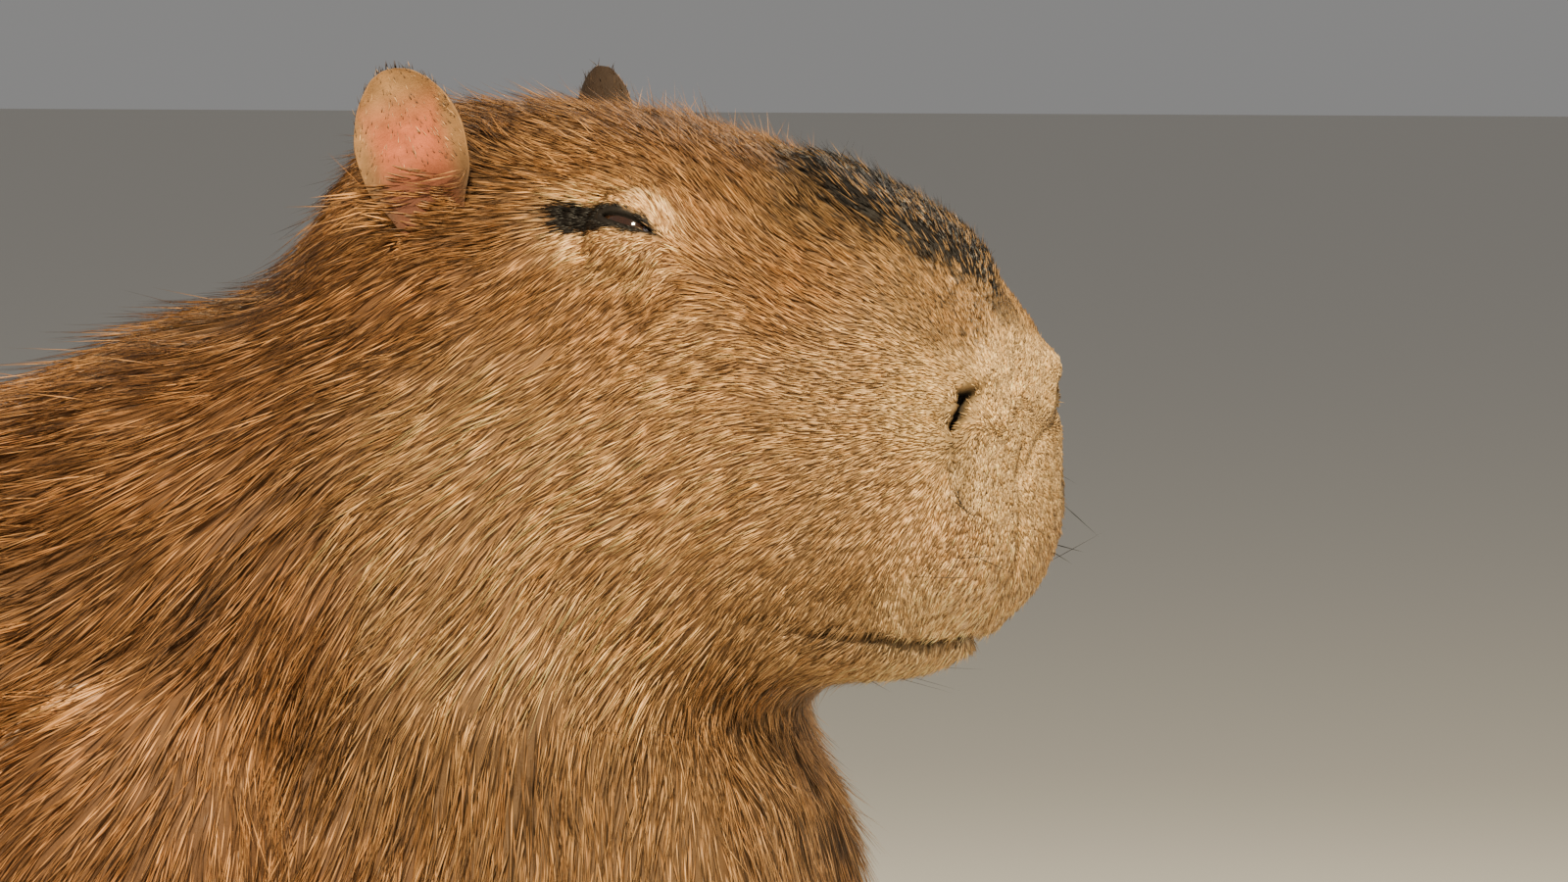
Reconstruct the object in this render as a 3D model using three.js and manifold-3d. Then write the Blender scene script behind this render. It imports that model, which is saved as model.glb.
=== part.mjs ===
// A life-size adult capybara that rests on its belly with its head up, as a still museum model.
// Units are millimetres. +X is the way the body faces, +Y is the animal's left and +Z is up.
// The origin is on the floor, under the middle of the box round the whole animal.
// The forms are measured to the tips of the coat, and every node is one closed solid.

import * as THREE from "three";
import { LoftGeometry } from "three/addons/geometries/LoftGeometry.js";
import { mergeVertices } from "three/addons/utils/BufferGeometryUtils.js";
import Module from "manifold-3d";

const wasm = await Module();
wasm.setup();

// Driving dimensions

const NOSE_HEIGHT = 320; // the front of the nose above the floor
const HEAD_TURN = THREE.MathUtils.degToRad(-9); // the head looks a little to the animal's right
const TURN_PIVOT_X = -215; // the head turns about an upright line under the ears
const GAP = 0.3; // the space that touching nodes keep
const EYE = { x: -127, y: 43, z: 61, radius: 13 };
const LID = { outer: 16.4, opening: 12.4, rise: 3.4, slant: THREE.MathUtils.degToRad(12) };
const EAR = { height: 49, width: 19, thick: 3.2, cup: 8 };
const FORE_TOES = 4;
const HIND_TOES = 3;

// Smooth interpolation through the rows of a table, without overshoot

function slopeAt(values, i) {
  const before = values[i] - values[Math.max(i - 1, 0)];
  const after = values[Math.min(i + 1, values.length - 1)] - values[i];
  if (i === 0) return after;
  if (i === values.length - 1) return before;
  return before * after <= 0 ? 0 : (2 * before * after) / (before + after);
}

function through(values, share) {
  const place = THREE.MathUtils.clamp(share, 0, 1) * (values.length - 1);
  const i = Math.min(Math.floor(place), values.length - 2);
  const t = place - i;
  const a = slopeAt(values, i);
  const b = slopeAt(values, i + 1);
  const rest = values[i + 1] - values[i];
  return values[i] + t * (a + t * (3 * rest - 2 * a - b + t * (a + b - 2 * rest)));
}

function rowsTo(keys, rows) {
  const columns = Object.fromEntries(keys.map((key, i) => [key, rows.map((row) => row[i])]));
  return (share) => Object.fromEntries(keys.map((key) => [key, through(columns[key], share)]));
}

// One point of a rounded section: a superellipse with its own reach above and below the widest level

function roundedSection(angle, half, above, below, square, pear) {
  const c = Math.cos(angle);
  const s = Math.sin(angle);
  const across = Math.sign(c) * Math.abs(c) ** (2 / square);
  const along = Math.sign(s) * Math.abs(s) ** (2 / square);
  return [half * across * (1 - pear * along), (along > 0 ? above : below) * along];
}

// Upright sections along X, for the head, jaw and torso

function uprightForm(rows, { lift = 0, place = (p) => p } = {}) {
  const at = rowsTo(["x", "top", "bottom", "half", "widest", "square", "pear"], rows);
  return (share, angle, grow = 0) => {
    const r = at(share);
    const above = r.top - r.widest + grow;
    const below = r.widest - r.bottom + grow;
    const [y, z] = roundedSection(angle, r.half + grow, above, below, r.square, r.pear);
    const end = grow * Math.sign(share - 0.5) * (share < 0.02 || share > 0.98 ? 1 : 0);
    return place(new THREE.Vector3(r.x - end, y, lift + r.widest + z), share);
  };
}

// Sections that lean along a path in the middle plane, for the neck

function leaningForm(rows, { lift = 0, place = (p) => p } = {}) {
  const at = rowsTo(["x", "z", "lean", "tall", "half", "square"], rows);
  return (share, angle, grow = 0) => {
    const r = at(share);
    const [y, up] = roundedSection(angle, r.half + grow, r.tall + grow, r.tall + grow, r.square, 0);
    const tilt = THREE.MathUtils.degToRad(r.lean);
    const p = new THREE.Vector3(r.x - up * Math.sin(tilt), y, lift + r.z + up * Math.cos(tilt));
    return place(p, share);
  };
}

// Sections square to a bent path, for limbs, feet, toes and claws: wide is across, along Y
// An end that is named as round closes like the end of an egg over that share of the path

function limbForm(rows, { square = 2.2, roundStart = 0, roundEnd = 0 } = {}) {
  const at = rowsTo(["x", "y", "z", "wide", "tall"], rows);
  const egg = (share, reach) => (share < reach ? Math.sqrt(1 - (1 - share / reach) ** 2) : 1);
  return (ring, angle, grow = 0) => {
    const share = (1 - Math.cos(Math.PI * ring)) / 2;
    const r = at(share);
    const a = at(Math.max(share - 0.02, 0));
    const b = at(Math.min(share + 0.02, 1));
    const along = new THREE.Vector3(b.x - a.x, b.y - a.y, b.z - a.z).normalize();
    const side = new THREE.Vector3(0, 1, 0).addScaledVector(along, -along.y).normalize();
    const up = new THREE.Vector3().crossVectors(along, side);
    const size = Math.max(egg(share, roundStart) * egg(1 - share, roundEnd), 0.12);
    const [u, v] = roundedSection(angle, r.wide * size + grow, r.tall * size + grow, r.tall * size + grow, square, 0);
    const end = grow * (ring === 0 ? -1 : ring === 1 ? 1 : 0);
    return new THREE.Vector3(r.x, r.y, r.z).addScaledVector(side, u).addScaledVector(up, v)
      .addScaledVector(along, end);
  };
}

// Solids: a form becomes a closed loft, and a loft becomes a solid that can be joined and cut

function solidOf(geometry) {
  const bare = new THREE.BufferGeometry().copy(geometry);
  bare.deleteAttribute("normal");
  bare.deleteAttribute("uv");
  const merged = mergeVertices(bare, 1e-3);
  const vertProperties = new Float32Array(merged.attributes.position.array);
  const triVerts = new Uint32Array(merged.index.array);
  return new wasm.Manifold(new wasm.Mesh({ numProp: 3, vertProperties, triVerts }));
}

// A loft needs its sections to turn counterclockwise about the way from the first to the last

function solidThrough(sections) {
  const centres = sections.slice(0, 2).map((ring) => (
    ring.reduce((sum, p) => sum.add(p), new THREE.Vector3()).divideScalar(ring.length)
  ));
  const onward = centres[1].clone().sub(centres[0]);
  const turn = new THREE.Vector3();
  sections[0].forEach((p, j, ring) => {
    const a = p.clone().sub(centres[0]);
    turn.add(a.cross(ring[(j + 1) % ring.length].clone().sub(centres[0])));
  });
  const rings = turn.dot(onward) > 0 ? sections : sections.map((ring) => [...ring].reverse());
  return solidOf(new LoftGeometry(rings, { closed: true, capStart: true, capEnd: true }));
}

function loftOf(form, rings, sides, grow = 0) {
  const sections = [];
  for (let i = 0; i <= rings; i++) {
    const ring = [];
    for (let j = 0; j < sides; j++) ring.push(form(i / rings, (2 * Math.PI * j) / sides, grow));
    sections.push(ring);
  }
  return solidThrough(sections);
}

function largest(solid) {
  return solid.decompose().reduce((a, b) => (b.volume() > a.volume() ? b : a));
}

function ballOf(centre, radii, turn = new THREE.Euler(), across = 16, down = 10) {
  const ball = new THREE.SphereGeometry(1, across, down);
  ball.rotateX(Math.PI / 2);
  ball.scale(...radii);
  ball.applyMatrix4(new THREE.Matrix4().makeRotationFromEuler(turn));
  ball.translate(centre.x, centre.y, centre.z);
  return solidOf(ball);
}

// The head's turn, in full for the head and in part along the neck

function turned(p, share = 1) {
  const angle = HEAD_TURN * share;
  const x = p.x - TURN_PIVOT_X;
  return new THREE.Vector3(
    TURN_PIVOT_X + x * Math.cos(angle) - p.y * Math.sin(angle),
    x * Math.sin(angle) + p.y * Math.cos(angle),
    p.z,
  );
}

// Head: x back from the nose, heights above and below the nose, half the width, the widest level

const headForm = uprightForm([
  [0, 14, -26, 24, -8, 2.5, 0.04],
  [-2, 24, -44, 36, -9, 2.5, 0.06],
  [-6, 33, -57, 42, -10, 2.5, 0.08],
  [-12, 43, -67, 45.5, -12, 2.5, 0.1],
  [-20, 53, -72.5, 47.5, -16, 2.5, 0.12],
  [-32, 65, -75, 49, -22, 2.5, 0.13],
  [-49, 74.5, -75, 51, -26, 2.5, 0.13],
  [-76, 86, -80, 55, -26, 2.45, 0.13],
  [-107, 96.5, -90, 62, -22, 2.4, 0.14],
  [-146, 104.5, -98, 72, -18, 2.35, 0.15],
  [-184, 108, -98, 79, -18, 2.3, 0.14],
  [-222, 106, -80, 77, -8, 2.3, 0.1],
  [-250, 92, -50, 62, 5, 2.2, 0.05],
  [-268, 66, -10, 38, 20, 2.2, 0],
], { lift: NOSE_HEIGHT, place: (p) => turned(p) });

const jawForm = uprightForm([
  [-27, -64, -80, 16, -70, 2.3, 0],
  [-31, -62, -85, 25, -71, 2.3, 0],
  [-40, -60, -88, 31, -70, 2.3, 0],
  [-56, -58, -89, 37, -70, 2.3, 0],
  [-80, -56, -90, 44, -68, 2.3, 0],
  [-110, -54, -97, 54, -66, 2.3, 0],
  [-140, -52, -98, 60, -66, 2.3, 0],
], { lift: NOSE_HEIGHT, place: (p) => turned(p) });

// Neck: the middle of each section, how far it leans back, half its height and half its width

const neckForm = leaningForm([
  [-150, 30, 50, 84, 66, 2.2],
  [-172, 4, 53, 106, 84, 2.2],
  [-193, -22, 54, 119, 98, 2.2],
  [-214, -46, 56, 144, 110, 2.2],
  [-236, -72, 58, 166, 120, 2.2],
  [-262, -94, 60, 170, 118, 2.2],
  [-292, -116, 66, 150, 86, 2.2],
], { lift: NOSE_HEIGHT, place: (p, share) => turned(p, THREE.MathUtils.smoothstep(1 - share, 0.05, 0.7)) });

// Torso: upright sections from the chest's front to the rump

const torsoForm = uprightForm([
  [-84, 176, 86, 44, 130, 2.2, 0],
  [-92, 205, 58, 74, 124, 2.2, -0.02],
  [-116, 236, 32, 99, 122, 2.2, 0],
  [-160, 264, 12, 120, 122, 2.25, 0.02],
  [-225, 292, 1, 134, 124, 2.3, 0.04],
  [-300, 314, -4, 144, 126, 2.35, 0.06],
  [-385, 328, -5, 152, 130, 2.35, 0.08],
  [-480, 342, -5, 164, 132, 2.35, 0.1],
  [-600, 360, -5, 177, 134, 2.35, 0.1],
  [-730, 368, -5, 180, 136, 2.35, 0.1],
  [-850, 354, -3, 170, 140, 2.3, 0.08],
  [-935, 318, 8, 146, 146, 2.25, 0.06],
  [-990, 262, 38, 106, 152, 2.2, 0.04],
  [-1018, 214, 84, 58, 152, 2.2, 0],
]);

// Limbs, for the right (side -1) and the left (side 1), folded under the resting body

function upperArmForm(side) {
  return limbForm([
    [-262, side * 100, 236, 34, 46],
    [-285, side * 112, 192, 46, 64],
    [-315, side * 122, 142, 48, 66],
    [-338, side * 130, 94, 44, 56],
    [-346, side * 132, 56, 36, 42],
  ], { roundStart: 0.3, roundEnd: 0.2 });
}

function forearmForm(side) {
  return limbForm([
    [-366, side * 133, 50, 32, 40],
    [-320, side * 132, 45, 37, 41],
    [-265, side * 124, 38, 33, 36],
    [-215, side * 114, 32, 28, 31],
    [-180, side * 107, 28, 25, 27],
  ], { roundStart: 0.2 });
}

function thighForm(side) {
  return limbForm([
    [-962, side * 92, 222, 44, 60],
    [-905, side * 116, 198, 58, 96],
    [-840, side * 132, 166, 66, 116],
    [-770, side * 142, 130, 62, 104],
    [-712, side * 150, 94, 50, 76],
    [-672, side * 154, 72, 36, 50],
  ], { roundStart: 0.25, roundEnd: 0.2 });
}

function shankForm(side) {
  return limbForm([
    [-684, side * 152, 84, 30, 40],
    [-735, side * 160, 82, 38, 44],
    [-800, side * 170, 72, 36, 38],
    [-865, side * 178, 56, 28, 30],
    [-908, side * 183, 42, 22, 26],
    [-934, side * 185, 34, 18, 22],
  ], { roundStart: 0.2, roundEnd: 0.1 });
}

// Feet: a sole of one piece, and toes that fan out from it

function soleForm(foot, side) {
  const rows = foot.sole.map(([x, y, z, wide, tall]) => [x, side * y, z, wide, tall]);
  return limbForm(rows, { square: 2.4, roundStart: 0.12, roundEnd: 0.12 });
}

const FORE_FOOT = {
  toes: FORE_TOES,
  sole: [
    [-200, 111, 28, 22, 24],
    [-178, 107, 24, 25, 23],
    [-150, 102, 19, 28, 19.5],
    [-124, 99, 15, 30, 15.5],
    [-104, 98, 12, 26, 12],
  ],
  root: { x: -118, y: 99, z: 12.5 },
  spread: 15,
  fan: THREE.MathUtils.degToRad(8),
  lengths: [40, 52, 50, 36],
  heading: THREE.MathUtils.degToRad(-4),
};

const HIND_FOOT = {
  toes: HIND_TOES,
  sole: [
    [-952, 186, 20, 18, 19],
    [-905, 187, 22, 24, 21.5],
    [-840, 188, 21, 27, 21.5],
    [-790, 190, 18, 30, 18.5],
    [-752, 192, 15, 32, 15.5],
    [-730, 192, 12, 28, 12],
  ],
  root: { x: -746, y: 192, z: 13 },
  spread: 20,
  fan: THREE.MathUtils.degToRad(9),
  lengths: [54, 66, 52],
  heading: THREE.MathUtils.degToRad(3),
};

const TOE = { wide: 10.5, tall: 11, bow: 4 };
const CLAW = { length: 19, wide: 6.6, tall: 7.2, drop: 5 };

function toeLine(foot, side, i) {
  const place = i - (foot.toes - 1) / 2;
  const heading = side * foot.heading + place * foot.fan * -side;
  const forward = new THREE.Vector3(Math.cos(heading), Math.sin(heading), 0);
  const start = new THREE.Vector3(foot.root.x, side * foot.root.y - side * place * foot.spread, foot.root.z);
  return { start, forward, length: foot.lengths[i] };
}

function toeForm(foot, side, i) {
  const { start, forward, length } = toeLine(foot, side, i);
  const rows = [0, 0.3, 0.62, 0.86, 1].map((share) => {
    const p = start.clone().addScaledVector(forward, share * length);
    const size = 1 + 0.06 * Math.sin(Math.PI * share) - 0.12 * share;
    return [p.x, p.y, start.z + TOE.bow * Math.sin(Math.PI * share) - 2 * share, TOE.wide * size, TOE.tall * size];
  });
  return limbForm(rows, { square: 2.3, roundEnd: 0.25 });
}

function clawForm(foot, side, i) {
  const { start, forward, length } = toeLine(foot, side, i);
  const rows = [0, 0.35, 0.75, 1].map((share) => {
    const p = start.clone().addScaledVector(forward, length - 6 + share * CLAW.length);
    const size = 1 - 0.62 * share ** 1.6;
    return [p.x, p.y, start.z - 0.5 - CLAW.drop * share, CLAW.wide * size, CLAW.tall * size];
  });
  return limbForm(rows, { square: 2.1, roundEnd: 0.2 });
}

// Ears: a cupped leaf, thicker at the root, that opens forwards and outwards

function earForm(side) {
  const root = new THREE.Vector3(-200, side * 55, NOSE_HEIGHT + 70);
  const up = new THREE.Vector3(-0.16, side * 0.3, 0.94).normalize();
  const facing = new THREE.Vector3(0.42, side * 0.86, -0.16).normalize();
  const across = new THREE.Vector3().crossVectors(up, facing).normalize();
  const front = new THREE.Vector3().crossVectors(across, up).normalize();
  const at = rowsTo(["v", "half", "cup", "shift"], [
    [-0.22, 0.5, 0.5, 0],
    [0, 0.68, 0.9, 0],
    [0.25, 0.95, 1, 0.02],
    [0.5, 1, 0.9, 0.05],
    [0.72, 0.86, 0.7, 0.08],
    [0.88, 0.6, 0.45, 0.08],
    [0.97, 0.34, 0.2, 0.06],
    [1, 0.12, 0.08, 0.04],
  ]);
  return (share, angle, grow = 0) => {
    const r = at(share);
    const c = Math.cos(angle);
    const s = Math.sin(angle);
    const thick = (EAR.thick * (1.35 - 0.75 * share)) / 2 + grow;
    const reach = EAR.width * r.half + grow;
    const bend = EAR.cup * r.cup * c * c - EAR.cup * r.cup * 0.5;
    return turned(
      root.clone()
        .addScaledVector(up, EAR.height * r.v)
        .addScaledVector(across, side * reach * c + EAR.width * r.shift)
        .addScaledVector(front, bend + thick * s),
    );
  };
}

// Snout gland: the bare dark mound on top of an adult's snout

const GLAND = { half: 19, height: 3.4, sunk: 6 };

function glandForm() {
  const topAt = rowsTo(["x", "z"], [[-92, 91.5], [-76, 86], [-62, 80.5], [-49, 74.5], [-32, 65], [-20, 53], [-13, 44]]);
  return (share, angle) => {
    const r = topAt(share);
    const round = Math.sqrt(Math.max(1 - (2 * share - 1) ** 2, 0.02));
    const [y, up] = roundedSection(angle, GLAND.half * round, GLAND.height * round, GLAND.sunk, 2.2, 0);
    const slope = 0.35 + 0.6 * share;
    return turned(new THREE.Vector3(r.x + up * Math.sin(slope), y, NOSE_HEIGHT + r.z + up * Math.cos(slope)));
  };
}

// Materials, one for each kind of surface

function finish(colour, roughness) {
  return new THREE.MeshStandardMaterial({ color: colour, roughness, metalness: 0 });
}

const COAT = finish(0x96673c, 0.9);
const FACE = finish(0xa17c52, 0.9);
const LIMB = finish(0x6f4b2d, 0.9);
const EAR_SKIN = finish(0xb07a5e, 0.8);
const BARE_SKIN = finish(0x241c18, 0.55);
const EYE_SURFACE = finish(0x1a100b, 0.1);
const HORN = finish(0x3a2e26, 0.5);

const model = new THREE.Group();

function addNode(name, solid, material) {
  const mesh = largest(solid).getMesh();
  const geometry = new THREE.BufferGeometry();
  geometry.setAttribute("position", new THREE.BufferAttribute(new Float32Array(mesh.vertProperties), 3));
  geometry.setIndex(new THREE.BufferAttribute(new Uint32Array(mesh.triVerts), 1));
  geometry.computeVertexNormals();
  const node = new THREE.Mesh(geometry, material);
  node.name = name;
  model.add(node);
}

// The trunk, made whole: head, neck and torso

const DETAIL = {
  head: [24, 26],
  neck: [8, 24],
  torso: [18, 24],
  limb: [8, 12],
  sole: [6, 12],
  toe: [4, 8],
  claw: [3, 6],
  ear: [9, 14],
  gland: [8, 12],
  jaw: [8, 16],
};

const headLoft = loftOf(headForm, ...DETAIL.head);
const neckLoft = loftOf(neckForm, ...DETAIL.neck);
const torsoLoft = loftOf(torsoForm, ...DETAIL.torso);
const trunk = headLoft.add(neckLoft).add(torsoLoft);
const trunkGrown = loftOf(headForm, ...DETAIL.head, GAP)
  .add(loftOf(neckForm, ...DETAIL.neck, GAP))
  .add(loftOf(torsoForm, ...DETAIL.torso, GAP));

// Thin cuts that part it: each plane is given by two points in the middle plane

function cutBetween(low, high, turnShare) {
  const a = turned(new THREE.Vector3(low[0], 0, NOSE_HEIGHT + low[1]), turnShare);
  const b = turned(new THREE.Vector3(high[0], 0, NOSE_HEIGHT + high[1]), turnShare);
  const angle = HEAD_TURN * turnShare;
  const side = new THREE.Vector3(-Math.sin(angle), Math.cos(angle), 0);
  const normal = new THREE.Vector3().crossVectors(side, b.clone().sub(a)).normalize();
  return { normal: normal.toArray(), offset: normal.dot(a) };
}

function infront(solid, cut) {
  return solid.trimByPlane(cut.normal, cut.offset + GAP / 2);
}

function behind(solid, cut) {
  return solid.trimByPlane(cut.normal.map((n) => -n), -(cut.offset - GAP / 2));
}

function aboveFloor(solid) {
  return solid.trimByPlane([0, 0, 1], 0);
}

const headCut = cutBetween([-91, -92], [-262, 96], 1);
const neckCut = cutBetween([-80, -176], [-390, 10], 0.3);

// Head: lids round each eye, the nostrils and the groove under the nose

function eyeCentre(side, out = 0) {
  return turned(new THREE.Vector3(EYE.x, side * (EYE.y + out), NOSE_HEIGHT + EYE.z));
}

function lidOpening(side) {
  const sections = [-0.4, 1].map((depth) => {
    const ring = [];
    for (let j = 0; j < 16; j++) {
      const a = (2 * Math.PI * j) / 16;
      const along = LID.opening * Math.cos(a);
      const up = LID.rise * Math.sin(a) * Math.abs(Math.sin(a)) ** 0.2;
      ring.push(turned(new THREE.Vector3(
        EYE.x + along * Math.cos(LID.slant) + up * Math.sin(LID.slant),
        side * (EYE.y + 24 * depth),
        NOSE_HEIGHT + EYE.z - 1.5 - along * Math.sin(LID.slant) + up * Math.cos(LID.slant),
      )));
    }
    return ring;
  });
  return solidThrough(sections);
}

const round = (radius) => [radius, radius, radius];

const NOSTRIL = { x: -2, y: 33, z: 6, length: 8.5, width: 2.4, depth: 8 };

function nostril(side) {
  const centre = turned(new THREE.Vector3(NOSTRIL.x, side * NOSTRIL.y, NOSE_HEIGHT + NOSTRIL.z));
  const turn = new THREE.Euler(side * 0.5, 0, side * 0.45 + HEAD_TURN, "ZYX");
  return ballOf(centre, [NOSTRIL.depth, NOSTRIL.width, NOSTRIL.length], turn, 10, 6);
}

function groove() {
  return limbForm([
    [1.5, 0, NOSE_HEIGHT + 2, 1.6, 3],
    [2.5, 0, NOSE_HEIGHT - 14, 2, 3.5],
    [0, 0, NOSE_HEIGHT - 34, 2, 3.6],
    [-5, 0, NOSE_HEIGHT - 52, 2.2, 3.6],
    [-14, 0, NOSE_HEIGHT - 66, 2.4, 3.6],
    [-22, 0, NOSE_HEIGHT - 76, 2.2, 3.6],
  ]);
}

function turnedForm(form) {
  return (share, angle, grow) => turned(form(share, angle, grow));
}

let head = infront(trunk, headCut);
for (const side of [-1, 1]) {
  head = head.add(ballOf(eyeCentre(side), round(LID.outer)));
  head = head.subtract(ballOf(eyeCentre(side), round(EYE.radius + GAP)));
  head = head.subtract(lidOpening(side)).subtract(nostril(side));
}
head = head.subtract(loftOf(turnedForm(groove()), 6, 6));
addNode("head", head, FACE);

const jaw = infront(loftOf(jawForm, ...DETAIL.jaw), headCut).subtract(trunkGrown);
addNode("lower_jaw", jaw, FACE);
addNode("snout_gland", loftOf(glandForm(), ...DETAIL.gland).subtract(trunkGrown), BARE_SKIN);

for (const [word, side] of [["right", -1], ["left", 1]]) {
  addNode(`eye_${word}`, ballOf(eyeCentre(side), round(EYE.radius)), EYE_SURFACE);
  addNode(`ear_${word}`, loftOf(earForm(side), ...DETAIL.ear).subtract(trunkGrown), EAR_SKIN);
}

addNode("neck", infront(behind(trunk, headCut), neckCut), COAT);

// Limbs: each is set on what it grows from

const limbs = [];
for (const [word, side] of [["right", -1], ["left", 1]]) {
  const grownThigh = loftOf(thighForm(side), ...DETAIL.limb, GAP);
  const grownShank = loftOf(shankForm(side), ...DETAIL.limb, GAP);
  const grownForearm = loftOf(forearmForm(side), ...DETAIL.limb, GAP);
  const set = (name, solid, material) => {
    limbs.push([`${name}_${word}`, aboveFloor(solid.subtract(trunkGrown)), material]);
  };
  const footOf = (foot) => {
    let solid = loftOf(soleForm(foot, side), ...DETAIL.sole);
    for (let i = 0; i < foot.toes; i++) solid = solid.add(loftOf(toeForm(foot, side, i), ...DETAIL.toe));
    return solid;
  };

  set("upper_arm", loftOf(upperArmForm(side), ...DETAIL.limb).subtract(grownForearm), COAT);
  set("forearm", loftOf(forearmForm(side), ...DETAIL.limb), COAT);
  set("forefoot", footOf(FORE_FOOT).subtract(grownForearm), LIMB);
  set("thigh", loftOf(thighForm(side), ...DETAIL.limb), COAT);
  set("shank", loftOf(shankForm(side), ...DETAIL.limb).subtract(grownThigh), COAT);
  set("hindfoot", footOf(HIND_FOOT).subtract(grownShank).subtract(grownThigh), LIMB);

  for (const [name, foot] of [["fore", FORE_FOOT], ["hind", HIND_FOOT]]) {
    for (let i = 0; i < foot.toes; i++) {
      const grownToe = loftOf(toeForm(foot, side, i), ...DETAIL.toe, GAP);
      set(`claw_${name}_${i + 1}`, loftOf(clawForm(foot, side, i), ...DETAIL.claw).subtract(grownToe), HORN);
    }
  }
}
addNode("torso", aboveFloor(behind(trunk, neckCut)), COAT);
for (const [name, solid, material] of limbs) addNode(name, solid, material);

// The origin goes to the floor, under the middle of the box

const box = new THREE.Box3().setFromObject(model);
const middle = box.getCenter(new THREE.Vector3());
model.position.set(-middle.x, -middle.y, -box.min.z);

export default model;
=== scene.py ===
# %% [markdown]
# # A resting capybara
# A grown male capybara rests on its belly with its head up and its eyes half closed. The model is
# dressed in three layers, as the animal is: one skin over the flesh, a coat of separate hairs over
# the skin, and the bare, wet or horny parts that show through the coat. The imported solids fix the
# outline, so the script first loads them as a frame, and its forms follow the same tables.

# %% The frame
import math

import bmesh
import bpy
import numpy as np
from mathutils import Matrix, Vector
from mathutils.bvhtree import BVHTree


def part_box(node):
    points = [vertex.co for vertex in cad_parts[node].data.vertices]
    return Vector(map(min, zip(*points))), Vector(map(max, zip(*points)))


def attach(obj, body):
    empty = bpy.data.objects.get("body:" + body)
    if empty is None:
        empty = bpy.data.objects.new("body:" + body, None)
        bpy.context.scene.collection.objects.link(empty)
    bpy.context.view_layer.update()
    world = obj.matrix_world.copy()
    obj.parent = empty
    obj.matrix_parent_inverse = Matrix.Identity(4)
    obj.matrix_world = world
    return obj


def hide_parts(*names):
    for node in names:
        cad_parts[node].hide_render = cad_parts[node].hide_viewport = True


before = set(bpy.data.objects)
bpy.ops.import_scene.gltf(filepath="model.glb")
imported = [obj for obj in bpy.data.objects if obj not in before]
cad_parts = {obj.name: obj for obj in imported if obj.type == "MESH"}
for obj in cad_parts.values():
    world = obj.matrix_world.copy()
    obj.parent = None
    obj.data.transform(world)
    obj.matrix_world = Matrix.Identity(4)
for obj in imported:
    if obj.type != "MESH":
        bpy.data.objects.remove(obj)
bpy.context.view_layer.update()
print("nodes in the frame:", len(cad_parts))

# %% [markdown]
# ## One way to speak of places
# Every form is described in millimetres, in the animal's own frame: X is the way the body faces, Y
# is its left, and Z is up from the floor. The head is described as if it looked straight ahead and
# is then turned about an upright line under the ears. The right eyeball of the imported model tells
# how far this frame is from the origin of the part.

# %% Places and the head's turn
NOSE_HEIGHT = 320.0
HEAD_TURN = math.radians(-9)
TURN_PIVOT_X = -215.0
EYE = {"x": -127.0, "y": 43.0, "z": 61.0, "radius": 13.0}
MM = 0.001


def turned(points, share=1.0):
    """Turns points about the upright line at the pivot, by the head's turn times a share."""
    angle = HEAD_TURN * np.asarray(share, float)
    x, y, z = points[..., 0] - TURN_PIVOT_X, points[..., 1], points[..., 2]
    turned_x = TURN_PIVOT_X + x * np.cos(angle) - y * np.sin(angle)
    return np.stack([turned_x, x * np.sin(angle) + y * np.cos(angle), z], axis=-1)


def turned_way(ways, share=1.0):
    """Turns directions by the same angle."""
    pivot = np.array([TURN_PIVOT_X, 0, 0])
    return turned(ways + pivot, share) - pivot


def smoothstep(values, low, high):
    """0 below low, 1 above high and an even S between them."""
    t = np.clip((values - low) / (high - low), 0, 1)
    return t * t * (3 - 2 * t)


def turn_share(points):
    """How far a place follows the head: all of it at the head, none at the chest and the back."""
    return smoothstep(points[..., 0], -330, -215) * smoothstep(points[..., 2], 140, 250)


def eye_centre(side):
    """The middle of an eyeball. Here and below, side is -1 on the right and 1 on the left."""
    return turned(np.array([EYE["x"], side * EYE["y"], NOSE_HEIGHT + EYE["z"]]))


low, high = (np.array(corner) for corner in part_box("eye_right"))
SHIFT = (low + high) / 2 / MM - eye_centre(-1)
print("frame of the forms to the origin, in mm:", SHIFT.round(2))

# %% [markdown]
# ## Forms
# The animal's body is made of lofts: rounded sections that change from row to row of a short table.
# A cubic without overshoot runs through each column, and each section is a superellipse that can be
# narrower at the top, like a pear. The skin is the same form made smaller by the depth of the coat,
# so that the tips of the hair reach the measured outline.

# %% Sections and tables
def through(rows, share):
    """Cubic through the rows of a table: slopes are harmonic means, so it doesn't overshoot."""
    rows = np.asarray(rows, float)
    steps = np.diff(rows, axis=0)
    before, after = steps[:-1], steps[1:]
    both = np.where(before * after > 0, before + after, 1.0)
    middle = np.where(before * after > 0, 2 * before * after / both, 0.0)
    slopes = np.vstack([steps[:1], middle, steps[-1:]])
    place = np.clip(share, 0, 1) * (len(rows) - 1)
    i = np.minimum(place.astype(int), len(rows) - 2)
    t = (place - i)[:, None]
    a, b, rest = slopes[i], slopes[i + 1], steps[i]
    return rows[i] + t * (a + t * (3 * rest - 2 * a - b + t * (a + b - 2 * rest)))


def rounded(angle, half, above, below, square, pear):
    """A superellipse: across and up, with its own reach above and below its widest level."""
    c, s = np.cos(angle), np.sin(angle)
    across = np.sign(c) * np.abs(c) ** (2 / square)
    along = np.sign(s) * np.abs(s) ** (2 / square)
    return half * across * (1 - pear * along), np.where(along > 0, above, below) * along


def ring_angles(sides):
    """Angles round a section, as one row."""
    return np.linspace(0, 2 * np.pi, sides, endpoint=False)[None, :]


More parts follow.
